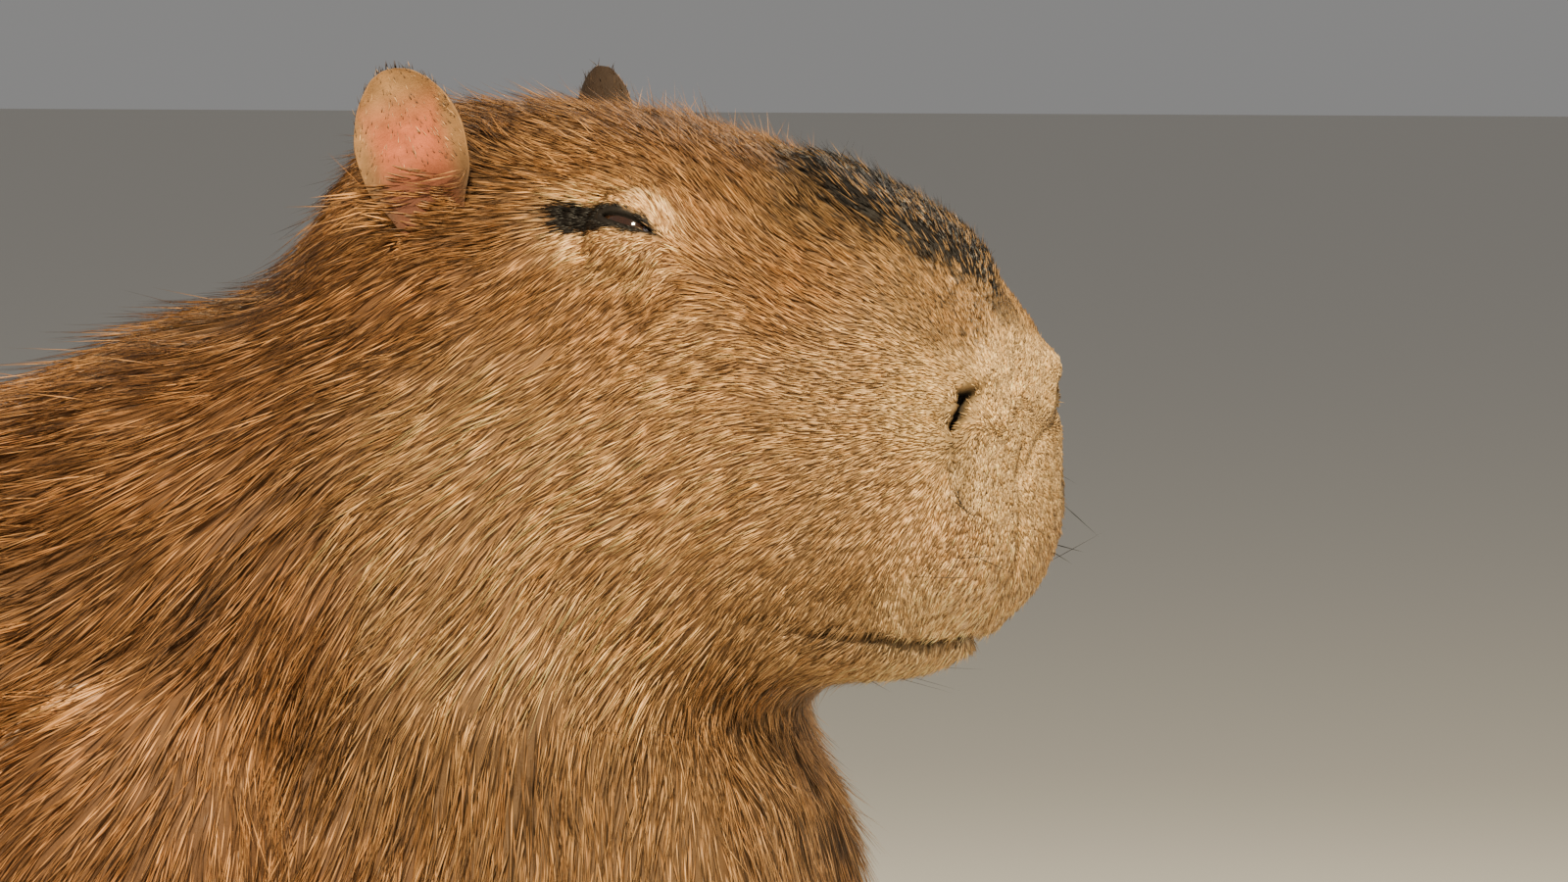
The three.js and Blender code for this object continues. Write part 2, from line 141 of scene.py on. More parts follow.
END_SHARE = 0.12  # the share of the length, at each end, over which growth also moves it endwards
LEAST_TRUNK, LEAST_LIMB = 3, 2  # half widths in mm that a thinned section keeps
PATH_STEP = 0.02  # how far ahead and behind the direction of a path is read
ROUND_TIP = 0.12  # the share of its size that a round end closes to


def upright(rows, rings, sides, grow=0.0):
    """Upright sections along X. grow moves the surface out, and its two ends with it."""
    share = np.linspace(0, 1, rings)
    x, top, bottom, half, widest, square, pear = (c[:, None] for c in through(rows, share).T)
    reaches = [np.maximum(reach + grow, LEAST_TRUNK) for reach in (half, top - widest, widest - bottom)]
    across, up = rounded(ring_angles(sides), *reaches, square, pear)
    ends = smoothstep(END_SHARE - share, 0, END_SHARE) - smoothstep(share, 1 - END_SHARE, 1)
    return np.stack([x + grow * ends[:, None] + 0 * up, across, widest + up], axis=-1)


def leaning(rows, rings, sides, grow=0.0):
    """Sections that lean back along a path in the middle plane, for the neck."""
    share = np.linspace(0, 1, rings)
    x, z, lean, tall, half, square = (c[:, None] for c in through(rows, share).T)
    across, up = rounded(ring_angles(sides), half + grow, tall + grow, tall + grow, square, 0)
    tilt = np.radians(lean)
    return np.stack([x - up * np.sin(tilt), across, z + up * np.cos(tilt)], axis=-1)


def limb(rows, rings, sides, grow=0.0, square=2.2, round_start=0.0, round_end=0.0):
    """Sections square to a bent path. A round end closes like the end of an egg."""
    share = (1 - np.cos(np.pi * np.linspace(0, 1, rings))) / 2
    x, y, z, wide, tall = (c[:, None] for c in through(rows, share).T)
    ahead = through(rows, np.minimum(share + PATH_STEP, 1))[:, :3]
    behind = through(rows, np.maximum(share - PATH_STEP, 0))[:, :3]
    along = unit(ahead - behind)
    side = unit(np.array([0, 1, 0]) - along * along[:, 1:2])
    up = np.cross(along, side)
    size = np.ones(rings)
    if round_start:
        size *= np.sqrt(1 - np.clip(1 - share / round_start, 0, 1) ** 2)
    if round_end:
        size *= np.sqrt(1 - np.clip(1 - (1 - share) / round_end, 0, 1) ** 2)
    size = np.maximum(size, ROUND_TIP)[:, None]
    wide, tall = (np.maximum(half + grow, LEAST_LIMB) * size for half in (wide, tall))
    u, v = rounded(ring_angles(sides), wide, tall, tall, square, 0)
    middle = np.concatenate([x, y, z], axis=1)[:, None, :]
    return middle + u[..., None] * side[:, None, :] + v[..., None] * up[:, None, :]


def unit(vectors):
    """The same directions with a length of 1."""
    return vectors / np.maximum(np.linalg.norm(vectors, axis=-1, keepdims=True), 1e-9)


# %% The tables of the trunk, the same as in the solids
HEAD = [
    # x, top, bottom, half width, widest level, squareness, pear
    [0, 14, -26, 24, -8, 2.5, 0.04],
    [-2, 24, -44, 36, -9, 2.5, 0.06],
    [-6, 33, -57, 42, -10, 2.5, 0.08],
    [-12, 43, -67, 45.5, -12, 2.5, 0.1],
    [-20, 53, -72.5, 47.5, -16, 2.5, 0.12],
    [-32, 65, -75, 49, -22, 2.5, 0.13],
    [-49, 74.5, -75, 51, -26, 2.5, 0.13],
    [-76, 86, -80, 55, -26, 2.45, 0.13],
    [-107, 96.5, -90, 62, -22, 2.4, 0.14],
    [-146, 104.5, -98, 72, -18, 2.35, 0.15],
    [-184, 108, -98, 79, -18, 2.3, 0.14],
    [-222, 106, -80, 77, -8, 2.3, 0.1],
    [-250, 92, -50, 62, 5, 2.2, 0.05],
    [-268, 66, -10, 38, 20, 2.2, 0],
]
JAW = [
    [-27, -64, -80, 16, -70, 2.3, 0],
    [-31, -62, -85, 25, -71, 2.3, 0],
    [-40, -60, -88, 31, -70, 2.3, 0],
    [-56, -58, -89, 37, -70, 2.3, 0],
    [-80, -56, -90, 44, -68, 2.3, 0],
    [-110, -54, -97, 54, -66, 2.3, 0],
    [-140, -52, -98, 60, -66, 2.3, 0],
]
NECK = [
    # x, z, lean in degrees, half height, half width, squareness
    [-150, 30, 50, 84, 66, 2.2],
    [-172, 4, 53, 106, 84, 2.2],
    [-193, -22, 54, 119, 98, 2.2],
    [-214, -46, 56, 144, 110, 2.2],
    [-236, -72, 58, 166, 120, 2.2],
    [-262, -94, 60, 170, 118, 2.2],
    [-292, -116, 66, 150, 86, 2.2],
]
TORSO = [
    [-84, 176, 86, 44, 130, 2.2, 0],
    [-92, 205, 58, 74, 124, 2.2, -0.02],
    [-116, 236, 32, 99, 122, 2.2, 0],
    [-160, 264, 12, 120, 122, 2.25, 0.02],
    [-225, 292, 1, 134, 124, 2.3, 0.04],
    [-300, 314, -4, 144, 126, 2.35, 0.06],
    [-385, 328, -5, 152, 130, 2.35, 0.08],
    [-480, 342, -5, 164, 132, 2.35, 0.1],
    [-600, 360, -5, 177, 134, 2.35, 0.1],
    [-730, 368, -5, 180, 136, 2.35, 0.1],
    [-850, 354, -3, 170, 140, 2.3, 0.08],
    [-935, 318, 8, 146, 146, 2.25, 0.06],
    [-990, 262, 38, 106, 152, 2.2, 0.04],
    [-1018, 214, 84, 58, 152, 2.2, 0],
]

# %% The tables of the limbs: x, y, z, half width across, half height, for the left side
UPPER_ARM = [
    [-262, 100, 236, 34, 46],
    [-285, 112, 192, 46, 64],
    [-315, 122, 142, 48, 66],
    [-338, 130, 94, 44, 56],
    [-346, 132, 56, 36, 42],
]
FOREARM = [
    [-366, 133, 50, 32, 40],
    [-320, 132, 45, 37, 41],
    [-265, 124, 38, 33, 36],
    [-215, 114, 32, 28, 31],
    [-180, 107, 28, 25, 27],
]
THIGH = [
    [-962, 92, 222, 44, 60],
    [-905, 116, 198, 58, 96],
    [-840, 132, 166, 66, 116],
    [-770, 142, 130, 62, 104],
    [-712, 150, 94, 50, 76],
    [-672, 154, 72, 36, 50],
]
SHANK = [
    [-684, 152, 84, 30, 40],
    [-735, 160, 82, 38, 44],
    [-800, 170, 72, 36, 38],
    [-865, 178, 56, 28, 30],
    [-908, 183, 42, 22, 26],
    [-934, 185, 34, 18, 22],
]
FORE_FOOT = {
    "sole": [
        [-200, 111, 28, 22, 24],
        [-178, 107, 24, 25, 23],
        [-150, 102, 19, 28, 19.5],
        [-124, 99, 15, 30, 15.5],
        [-104, 98, 12, 26, 12],
    ],
    "root": (-118, 99, 12.5),
    "spread": 15,
    "fan": math.radians(8),
    "lengths": [40, 52, 50, 36],
    "heading": math.radians(-4),
}
HIND_FOOT = {
    "sole": [
        [-952, 186, 20, 18, 19],
        [-905, 187, 22, 24, 21.5],
        [-840, 188, 21, 27, 21.5],
        [-790, 190, 18, 30, 18.5],
        [-752, 192, 15, 32, 15.5],
        [-730, 192, 12, 28, 12],
    ],
    "root": (-746, 192, 13),
    "spread": 20,
    "fan": math.radians(9),
    "lengths": [54, 66, 52],
    "heading": math.radians(3),
}
TOE = {"wide": 10.5, "tall": 11, "bow": 4}
CLAW = {"length": 19, "wide": 6.6, "tall": 7.2, "drop": 5, "sunk": 6}


def lifted(grid):
    """The head's and neck's tables count heights from the nose, and forms from the floor."""
    return grid + np.array([0, 0, NOSE_HEIGHT])


def mirrored(rows, side):
    """The rows of a limb's table for one side."""
    rows = np.array(rows, float)
    rows[:, 1] *= side
    return rows


def toe_line(foot, side, i):
    """Where a toe starts, the way it points and its length. Toe 1 is the inner one."""
    place = i - (len(foot["lengths"]) - 1) / 2
    heading = side * foot["heading"] + place * foot["fan"] * -side
    x, y, z = foot["root"]
    start = np.array([x, side * (y - place * foot["spread"]), z])
    return start, np.array([math.cos(heading), math.sin(heading), 0]), foot["lengths"][i]


def toe_rows(foot, side, i):
    """A limb's table for a toe: it bows upwards in the middle and ends a little slimmer."""
    start, forward, length = toe_line(foot, side, i)
    rows = []
    for share in (0, 0.3, 0.62, 0.86, 1):
        x, y, z = start + forward * share * length
        size = 1 + 0.06 * math.sin(math.pi * share) - 0.12 * share
        height = z + TOE["bow"] * math.sin(math.pi * share) - 2 * share
        rows.append([x, y, height, TOE["wide"] * size, TOE["tall"] * size])
    return rows


def claw_rows(foot, side, i):
    """A limb's table for a claw, which tapers and drops. It starts inside the end of the toe."""
    start, forward, length = toe_line(foot, side, i)
    rows = []
    for share in (0, 0.35, 0.75, 1):
        x, y, z = start + forward * (length - CLAW["sunk"] + share * CLAW["length"])
        size = 1 - 0.62 * share ** 1.6
        rows.append([x, y, z - 0.5 - CLAW["drop"] * share, CLAW["wide"] * size, CLAW["tall"] * size])
    return rows


# %% [markdown]
# ## One skin
# The lofts overlap like the clay of a rough model. A voxel remesh fuses them into one closed
# surface, and a little smoothing lets the neck, shoulder and thigh flow into each other. The head
# is then cut finer and the feet are fused at a finer voxel, because short hair shows the form.

# %% Meshes from grids
# How far in mm the skin lies under the measured outline
COAT_DEPTH = {"head": 3.0, "jaw": 2.5, "neck": 11.0, "torso": 12.0, "limb": 8.0, "foot": 1.5}


def grid_mesh(grid):
    """Vertices and faces of a closed loft: walls from ring to ring and a face at each end."""
    rings, sides = grid.shape[:2]
    index = np.arange(rings * sides).reshape(rings, sides)
    a, b = index[:-1], np.roll(index, -1, axis=1)[:-1]
    c, d = np.roll(index, -1, axis=1)[1:], index[1:]
    faces = np.stack([a, d, c, b], axis=-1).reshape(-1, 4).tolist()
    return grid.reshape(-1, 3), faces + [index[0].tolist(), index[-1][::-1].tolist()]


def join_meshes(parts):
    """One list of vertices and faces from several."""
    verts, faces, start = [], [], 0
    for part_verts, part_faces in parts:
        verts.append(part_verts)
        faces += [[start + i for i in face] for face in part_faces]
        start += len(part_verts)
    return np.concatenate(verts), faces


def linked(name, data):
    """A new object in the scene, at the origin, for a mesh, a light or a camera."""
    thing = bpy.data.objects.new(name, data)
    bpy.context.scene.collection.objects.link(thing)
    return thing


def new_object(name, verts, faces):
    """An object from vertices in the forms' frame, with its faces pointing out."""
    mesh = bpy.data.meshes.new(name)
    mesh.from_pydata(((verts + SHIFT) * MM).tolist(), [], faces)
    work = bmesh.new()
    work.from_mesh(mesh)
    bmesh.ops.recalc_face_normals(work, faces=work.faces)
    work.to_mesh(mesh)
    work.free()
    mesh.shade_smooth()
    return linked(name, mesh)


def fused(name, parts, voxel, rounds, gap):
    """The parts as one closed surface of quads, smoothed, and so many mm clear of the floor."""
    rough = new_object(name, *join_meshes(parts))
    remesh = rough.modifiers.new("fuse", "REMESH")
    remesh.mode = "VOXEL"
    remesh.voxel_size = voxel * MM
    remesh.adaptivity = 0
    done = rough.evaluated_get(bpy.context.evaluated_depsgraph_get())
    mesh = bpy.data.meshes.new_from_object(done)
    bpy.data.objects.remove(rough)
    points = relaxed(mesh, mesh_points(mesh), rounds)
    points[:, 2] = np.maximum(points[:, 2], gap)
    set_points(mesh, points)
    return mesh


def mesh_points(mesh):
    """The vertices of a mesh, in the forms' frame."""
    flat = np.empty(len(mesh.vertices) * 3)
    mesh.vertices.foreach_get("co", flat)
    return flat.reshape(-1, 3) / MM - SHIFT


def set_points(mesh, points):
    """Moves the vertices of a mesh to places in the forms' frame."""
    mesh.vertices.foreach_set("co", ((points + SHIFT) * MM).ravel())
    mesh.update()


def relaxed(mesh, points, rounds, strength=0.5, where=None):
    """Laplacian smoothing: each vertex moves a share of the way to its neighbours' mean."""
    edges = np.empty(len(mesh.edges) * 2, int)
    mesh.edges.foreach_get("vertices", edges)
    a, b = edges.reshape(-1, 2).T
    count = np.bincount(a, minlength=len(points)) + np.bincount(b, minlength=len(points))
    weight = strength if where is None else (strength * where)[:, None]
    for _ in range(rounds):
        mean = np.stack([
            np.bincount(a, points[b, k], len(points)) + np.bincount(b, points[a, k], len(points))
            for k in range(3)
        ], axis=1) / np.maximum(count, 1)[:, None]
        points = points + weight * (mean - points)
    return points


def cut_finer(mesh, chosen):
    """Splits the edges whose two ends are both chosen."""
    work = bmesh.new()
    work.from_mesh(mesh)
    edges = [e for e in work.edges if chosen[e.verts[0].index] and chosen[e.verts[1].index]]
    bmesh.ops.subdivide_edges(work, edges=edges, cuts=1, use_grid_fill=True)
    work.to_mesh(mesh)
    work.free()


# %% The trunk and limbs, fused
LIMBS = [  # table, rings, sides, shares of the length that a round start and a round end take
    (UPPER_ARM, 24, 32, 0.3, 0.2),
    (FOREARM, 24, 32, 0.2, 0),
    (THIGH, 32, 40, 0.25, 0.2),
    (SHANK, 24, 32, 0.2, 0.1),
]
# Voxel in mm, rounds of smoothing, and the least height over the floor in mm
BODY_SKIN = {"voxel": 6.0, "rounds": 10, "gap": 0.6}
FOOT_SKIN = {"voxel": 3.2, "rounds": 4, "gap": 0.3}


def trunk_parts():
    """The lofts of the head, jaw, neck, torso and legs. The neck follows the head's turn by degrees."""
    depth = COAT_DEPTH
    head = turned(lifted(upright(HEAD, 70, 72, -depth["head"])))
    jaw = turned(lifted(upright(JAW, 24, 40, -depth["jaw"])))
    neck = lifted(leaning(NECK, 30, 72, -depth["neck"]))
    share = smoothstep(1 - np.linspace(0, 1, 30), 0.05, 0.7)[:, None]
    parts = [head, jaw, turned(neck, share), upright(TORSO, 70, 72, -depth["torso"])]
    for side in (-1, 1):
        for rows, rings, sides, start, end in LIMBS:
            parts.append(limb(mirrored(rows, side), rings, sides, -depth["limb"], 2.2, start, end))
    return [grid_mesh(p) for p in parts]


def foot_parts(foot, side):
    """The lofts of a sole and its toes."""
    grow = -COAT_DEPTH["foot"]
    parts = [limb(mirrored(foot["sole"], side), 24, 32, grow, 2.4, 0.12, 0.12)]
    for i in range(len(foot["lengths"])):
        parts.append(limb(toe_rows(foot, side, i), 16, 20, grow, 2.3, 0, 0.25))
    return [grid_mesh(p) for p in parts]


skin_mesh = fused("skin", trunk_parts(), **BODY_SKIN)
print("trunk vertices:", len(skin_mesh.vertices))

# %% [markdown]
# ## The face
# Short hair hides little on a capybara's face, so its nostrils, lips, brow and the bare gland on
# the snout are shaped in the skin itself. The head is cut finer once, and the parts round the eyes,
# nose and mouth once more. Each feature is then a small bell-shaped push along the surface's own
# normal, round a point or along a line, in the frame of a head that looks straight ahead.

# %% Cutting the head finer
def head_places(points):
    """Places in the frame of a head that looks straight ahead, heights from the nose."""
    back = turned(points, -turn_share(points))
    return back - np.array([0, 0, NOSE_HEIGHT])


def sided(places):
    """The same places with both sides of the head laid over each other."""
    return places * [1, 0, 1] + np.abs(places) * [0, 1, 0]


def far_from(places, centre):
    """The distance from each place to a point, on both sides of the head."""
    return np.linalg.norm(sided(places) - np.array(centre, float), axis=1)


def on_head(points):
    """In front of the neck, and above a line that falls away under the throat."""
    place = head_places(points)
    above_throat = place[:, 2] > -104 - np.minimum(place[:, 0] + 120, 0) * 0.9
    return (place[:, 0] > -236) & above_throat & (np.abs(place[:, 1]) < 90)


def on_face_detail(points):
    """On the muzzle, along the mouth and round the eyes."""
    place = head_places(points)
    muzzle = (place[:, 0] > -44) & (place[:, 2] < 40)
    mouth = (place[:, 0] > -95) & (place[:, 2] < -58) & (place[:, 2] > -100)
    eyes = far_from(place, (EYE["x"], 50, EYE["z"])) < 27
    return muzzle | mouth | eyes


CUT_ROUNDS, CUT_STRENGTH = 3, 0.6  # the smoothing after each cut
for region in (on_head, on_face_detail):
    cut_finer(skin_mesh, region(mesh_points(skin_mesh)))
    points = mesh_points(skin_mesh)
    where = region(points).astype(float)
    set_points(skin_mesh, relaxed(skin_mesh, points, CUT_ROUNDS, CUT_STRENGTH, where))
print("skin vertices after cutting:", len(skin_mesh.vertices))

# %% Pushing features in and out
def bell(distance, width):
    """1 at no distance, about a third at one width and nearly 0 at two."""
    return np.exp(-(distance / width) ** 2)


def line_distance(places, line):
    """The distance from each place to a bent line, on both sides of the head."""
    places = sided(places)
    line = np.array(line, float)
    nearest = np.full(len(places), 1e9)
    for a, b in zip(line[:-1], line[1:]):
        t = np.clip(((places - a) @ (b - a)) / ((b - a) @ (b - a)), 0, 1)
        nearest = np.minimum(nearest, np.linalg.norm(places - a - t[:, None] * (b - a), axis=1))
    return nearest


LINES = {
    "nostril": [(-5, 33.5, 9.4), (-1.6, 28.6, 9.8), (-4.2, 33, 3.4), (-7, 37, 0)],
    "nostril_crease": [(-7, 37, 0), (-6, 37, -8), (-4, 35, -22)],
    "nose_crease": [(-1.6, 28.6, 8), (0, 20, -2), (0, 10, -8), (0, 2, -18)],
    "mouth": [(-20, 0, -73), (-27, 18, -75), (-38, 32, -75.5), (-60, 42, -73), (-84, 50, -67)],
}
CREASES = {"nostril": (8, 2.4), "nostril_crease": (2.2, 3.2), "nose_crease": (1.6, 3)}  # depth, width
MOUTH_DEPTH = 4.5
LINE_WIDTH = 2.4  # of the mouth, the philtrum and the dark of the nostrils
LIPS = [((0, 0, -8), 1.6, 6), ((0, 0, 7), 1.2, 5)]  # from a lip to the mouth, height, width
BUMPS = [  # place, height, width
    ((-12, 39, 9), 2.6, 5.5),
    ((-6, 24, 17), 3.6, 7),
    ((-4, 20, 3), 1.4, 6),
    ((-124, 44, 80), 2.0, 15),
    ((-92, 46, 54), -2.6, 17),
    ((-118, 58, 38), -1.8, 9),
]
GLAND = {"x": -51, "half_length": 40, "half_width": 20, "height": 4.5, "lowest": 25}
FOLDS = [  # on the right side only: line, depth, width
    ([(-205, 96, 16), (-228, 106, -20), (-262, 116, -62)], 4.5, 11),
    ([(-238, 104, 22), (-262, 112, -16), (-296, 124, -52)], 4, 11),
]


def gland_rim(place):
    """1 at the middle of the bare gland, 0 at its rim and below 0 outside it."""
    u = (place[:, 0] - GLAND["x"]) / GLAND["half_length"]
    v = place[:, 1] / GLAND["half_width"]
    return np.where(place[:, 2] > GLAND["lowest"], 1 - u ** 2 - v ** 2, -1.0)


def on_skin(line, places):
    """The points of a line, each moved to the nearest point of the skin."""
    flat = sided(places)
    return [flat[np.argmin(np.linalg.norm(flat - point, axis=1))] for point in line]


def features(points):
    """How far each point of the skin moves out, in mm: the sum of the bumps, less the creases."""
    place = head_places(points)
    move = GLAND["height"] * smoothstep(gland_rim(place), 0, 0.45)
    for spot, height, width in BUMPS:
        move += height * bell(far_from(place, spot), width)
    for name, (depth, width) in CREASES.items():
        move -= depth * bell(line_distance(place, LINES[name]), width)
    philtrum = bell(np.abs(place[:, 1]), LINE_WIDTH) * smoothstep(place[:, 0], -24, -16)
    move -= 2.0 * philtrum * smoothstep(-place[:, 2], 4, 14) * smoothstep(place[:, 2], -74, -64)
    mouth = bell(line_distance(place, LINES["mouth"]), LINE_WIDTH)
    move -= MOUTH_DEPTH * mouth * smoothstep(place[:, 0], -95, -60)
    for to_mouth, height, width in LIPS:
        move += height * bell(line_distance(place + to_mouth, LINES["mouth"]), width)
    for line, depth, width in FOLDS:
        move -= (place[:, 1] < 0) * depth * bell(line_distance(place, line), width)
    return move


def normals_of(mesh):
    """The way out of the skin at each vertex."""
    flat = np.empty(len(mesh.vertices) * 3, np.float32)
    mesh.vertex_normals.foreach_get("vector", flat)
    return flat.reshape(-1, 3).astype(float)


points = mesh_points(skin_mesh)
LINES = {name: on_skin(line, head_places(points)) for name, line in LINES.items()}
smooth_points = points.copy()
moves = features(points)
set_points(skin_mesh, points + normals_of(skin_mesh) * moves[:, None])
print("deepest and highest push in mm:", moves.min().round(1), moves.max().round(1))

# %% [markdown]
# ## Eyes and lids
# A capybara's eye sits high on the head under heavy bare lids, and this one is half closed. The
# lids are a small round cap over the eyeball with a slit in it: a grid that starts inside the
# slit's edge, rolls out over the lid's thickness and runs down to the face, where it dips under the
# skin. The skin below it is pushed in, so that it can't show through the slit.

# %% The lids
LID = {
    "slit": (9.0, 1.5, 1.4),  # half length, reach up, reach down
    "bare": (14.0, 3.6),  # half axes of the skin without hair
    "black": (22.5, 5.3),  # half axes of the black skin
    "reach": (25.0, 19.0),  # half axes of the whole lid
    "slant": math.radians(-13),
    "inner": 13.25,  # radius, a little more than the eyeball's
    "thick": 2.0,
    "creases": [(3.6, 0.9), (6.5, 1.2)],  # distance from the slit, width
    "crease_depth": 0.45,
    "blend": 2.0,  # how softly the lid runs into the face
    "dip": 3.2,  # how far its rim goes under the skin
}
# The distance of each ring from the slit's edge. The first ring lies inside it
LID_STEPS = np.array([-0.8, 0, 0.25, 0.7, 1.3, 2.2, 3.2, 4.4, 6, 8, 10, 12.5, 15, 17.5])


def eye_frame(side):
    """The eye's middle and the lid's own axes on a head that looks straight ahead: along the slit
    towards the nose, up across it, and out of the head."""
    out = unit(np.array([0.24, 0.86 * side, 0.40]))
    along = np.array([math.cos(LID["slant"]), 0, math.sin(LID["slant"])])
    along = unit(along - out * (along @ out))
    up = np.cross(along, out) * -side
    return np.array([EYE["x"], side * EYE["y"], NOSE_HEIGHT + EYE["z"]]), along, up, out


def eye_places(points, side):
    """Places along the slit, across it and out of the head, from the eye's middle."""
    middle, along, up, out = eye_frame(side)
    straight = head_places(points) + [0, 0, NOSE_HEIGHT] - middle
    return straight @ along, straight @ up, straight @ out


def round_eyes(points):
    """The same three, from the eye on each point's own side of the head."""
    right, left = (np.stack(eye_places(points, side)) for side in (-1, 1))
    return np.where(head_places(points)[:, 1] > 0, left, right)


def oval(a, b, half_a, half_b):
    """Below 1 inside an oval and 1 on it."""
    return np.hypot(a / half_a, b / half_b)


def on_black(a, b):
    """Below 1 on the black round the eye, which reaches further and higher towards the ear."""
    return oval(a + 8.5, b / (1 - 0.014 * (a + 8.5)), *LID["black"])


def lid_grid(side, face_level):
    """Rings round the slit, from inside its edge out to under the face. Their height is a soft
    maximum of a ball over the eye and the level of the face, which falls away from the eye."""
    angle = np.linspace(0, 2 * np.pi, 96, endpoint=False)[None, :]
    half, up_reach, down_reach = LID["slit"]
    c, s = np.cos(angle), np.sin(angle)
    slit_a, slit_b = half * c, np.where(s > 0, up_reach, down_reach) * s * np.abs(s) ** 0.35
    share = (np.maximum(LID_STEPS, 0) / LID_STEPS[-1])[:, None]
    inward = np.minimum(LID_STEPS, 0)[:, None]
    a = slit_a + (LID["reach"][0] * c - slit_a) * share + inward * 0.6 * c
    b = slit_b + (LID["reach"][1] * s - slit_b) * share + inward * 0.8 * s
    roll = 1 - np.exp(-np.maximum(LID_STEPS, 0) / 0.6)[:, None]
    radius = LID["inner"] + LID["thick"] * roll - 0.5 * (inward < 0)
    crease = sum(bell(LID_STEPS[:, None] - step, width) for step, width in LID["creases"])
    radius = radius - LID["crease_depth"] * crease * np.abs(s)
    cap = np.sqrt(np.maximum(radius ** 2 - a ** 2 - b ** 2, 1.0))
    face = face_level - (a ** 2 + b ** 2) / 170
    soft = LID["blend"]
    out = soft * np.logaddexp(cap / soft, face / soft) - LID["dip"] * smoothstep(share, 0.62, 1)
    out = np.where(share < 0.25, np.maximum(cap, out - 0.6), out)
    middle, x_axis, y_axis, z_axis = eye_frame(side)
    return turned(middle + a[..., None] * x_axis + b[..., None] * y_axis + out[..., None] * z_axis)


def open_grid_mesh(grid):
    """Vertices and faces of a ring-shaped sheet: the same walls without the two ends."""
    verts, faces = grid_mesh(grid)
    return verts, faces[:-2]


lid_parts = []
points = mesh_points(skin_mesh)
for side in (-1, 1):
    a, b, out = eye_places(points, side)
    away = np.hypot(a, b)
    near = (away < 40) & (out > -5)
    face_level = float(np.median(out[(away > 15) & (away < 22) & near])) + 1.5
    lid_parts.append(open_grid_mesh(lid_grid(side, face_level)))
    sink = near * (1 - smoothstep(oval(a, b, 22, 16), 0.62, 0.98))
    points = points - turned_way(eye_frame(side)[3]) * (sink * np.maximum(out - 1, 0))[:, None]
    print("lid", side, "face level in mm:", round(face_level, 2))
set_points(skin_mesh, points)

# %% [markdown]
# ## Ears and feet
# The ears are thin cups, too thin for the voxels of the trunk, so each is a loft of its own, bent
# across its width. The feet are fused at a finer voxel. Both join the skin object, so that the
# animal still wears one skin.

# %% Ears
EAR = {"height": 49.0, "width": 19.0, "thick": 3.2, "cup": 8.0}
EAR_ROOT = (-200.0, 55.0, 390.0)
EAR_ROWS = [
    # height, half width, cup, shift forwards, as shares
    [-0.22, 0.5, 0.5, 0],
    [0, 0.68, 0.9, 0],
    [0.25, 0.95, 1, 0.02],
    [0.5, 1, 0.9, 0.05],
    [0.72, 0.86, 0.7, 0.08],
    [0.88, 0.6, 0.45, 0.08],
    [0.97, 0.34, 0.2, 0.06],
    [1, 0.12, 0.08, 0.04],
]


def ear_axes(side):
    """An ear's own axes on a head that looks straight ahead: up, across, and out of its cup."""
    up = unit(np.array([-0.16, side * 0.3, 0.94]))
    facing = unit(np.array([0.42, side * 0.86, -0.16]))
    across = unit(np.cross(up, facing))
    return up, across, unit(np.cross(across, up))


def ear_grid(side, rings=48, sides=56):
    """A cupped leaf: each section is bent by the square of the place across it, so that the rim
    stands forwards, and the wall thins towards the tip. Faint ripples run over its inside."""
    share = np.linspace(0, 1, rings)
    v, half, cup, shift = (c[:, None] for c in through(EAR_ROWS, share).T)
    angle = ring_angles(sides)
    c, s = np.cos(angle), np.sin(angle)
    wall = EAR["thick"] * (1.35 - 0.75 * share[:, None]) / 2
    wall = wall * (0.6 + 0.6 * np.abs(c) ** 6)
    ripple = 1.8 * np.sin(c * 4 + v * 9) * smoothstep(v, 0.1, 0.4) * (1 - smoothstep(v, 0.75, 1)) * (s > 0)
    bend = EAR["cup"] * cup * c * c - EAR["cup"] * cup * 0.5
    up, across, front = ear_axes(side)
    root = np.array(EAR_ROOT) * [1, side, 1]
    reach = side * EAR["width"] * half * c + EAR["width"] * shift
    return turned(
        root + (EAR["height"] * v + 0 * c)[..., None] * up + reach[..., None] * across
        + (bend + (wall + ripple * 0.5) * s)[..., None] * front
    )


# %% All of the skin in one object
def mesh_parts(mesh):
    """Vertices in the forms' frame and faces of a mesh."""
    return mesh_points(mesh), [list(p.vertices) for p in mesh.polygons]


foot_meshes = []
for side in (-1, 1):
    for foot in (FORE_FOOT, HIND_FOOT):
        foot_meshes.append(mesh_parts(fused("foot", foot_parts(foot, side), **FOOT_SKIN)))
skin_parts = [mesh_parts(skin_mesh)] + lid_parts + [grid_mesh(ear_grid(s)) for s in (-1, 1)] + foot_meshes
PART_NAMES = ["trunk", "lid", "lid", "ear", "ear", "fore_foot", "hind_foot", "fore_foot", "hind_foot"]
skin_verts, skin_faces = join_meshes(skin_parts)
# Where each vertex was before the features moved it: the markings and the comb read these places
unpushed = np.concatenate([smooth_points, skin_verts[len(smooth_points):]])
part_of = np.repeat(np.arange(len(skin_parts)), [len(v) for v, _ in skin_parts])
skin = new_object("skin", skin_verts, skin_faces)
print("skin triangles:", sum(len(f) - 2 for f in skin_faces))

# %% [markdown]
# ## Combing the coat
# A coat looks right when each hair lies as its neighbours do and the lie changes slowly over the
# body. A short list of places says how the hair lies there: its direction, length, lift and colour.
# Every other place takes a mean of them, weighted by nearness, as a groomer blends strokes of a
# brush. The same list colours the skin, so that coat and skin carry the same markings.

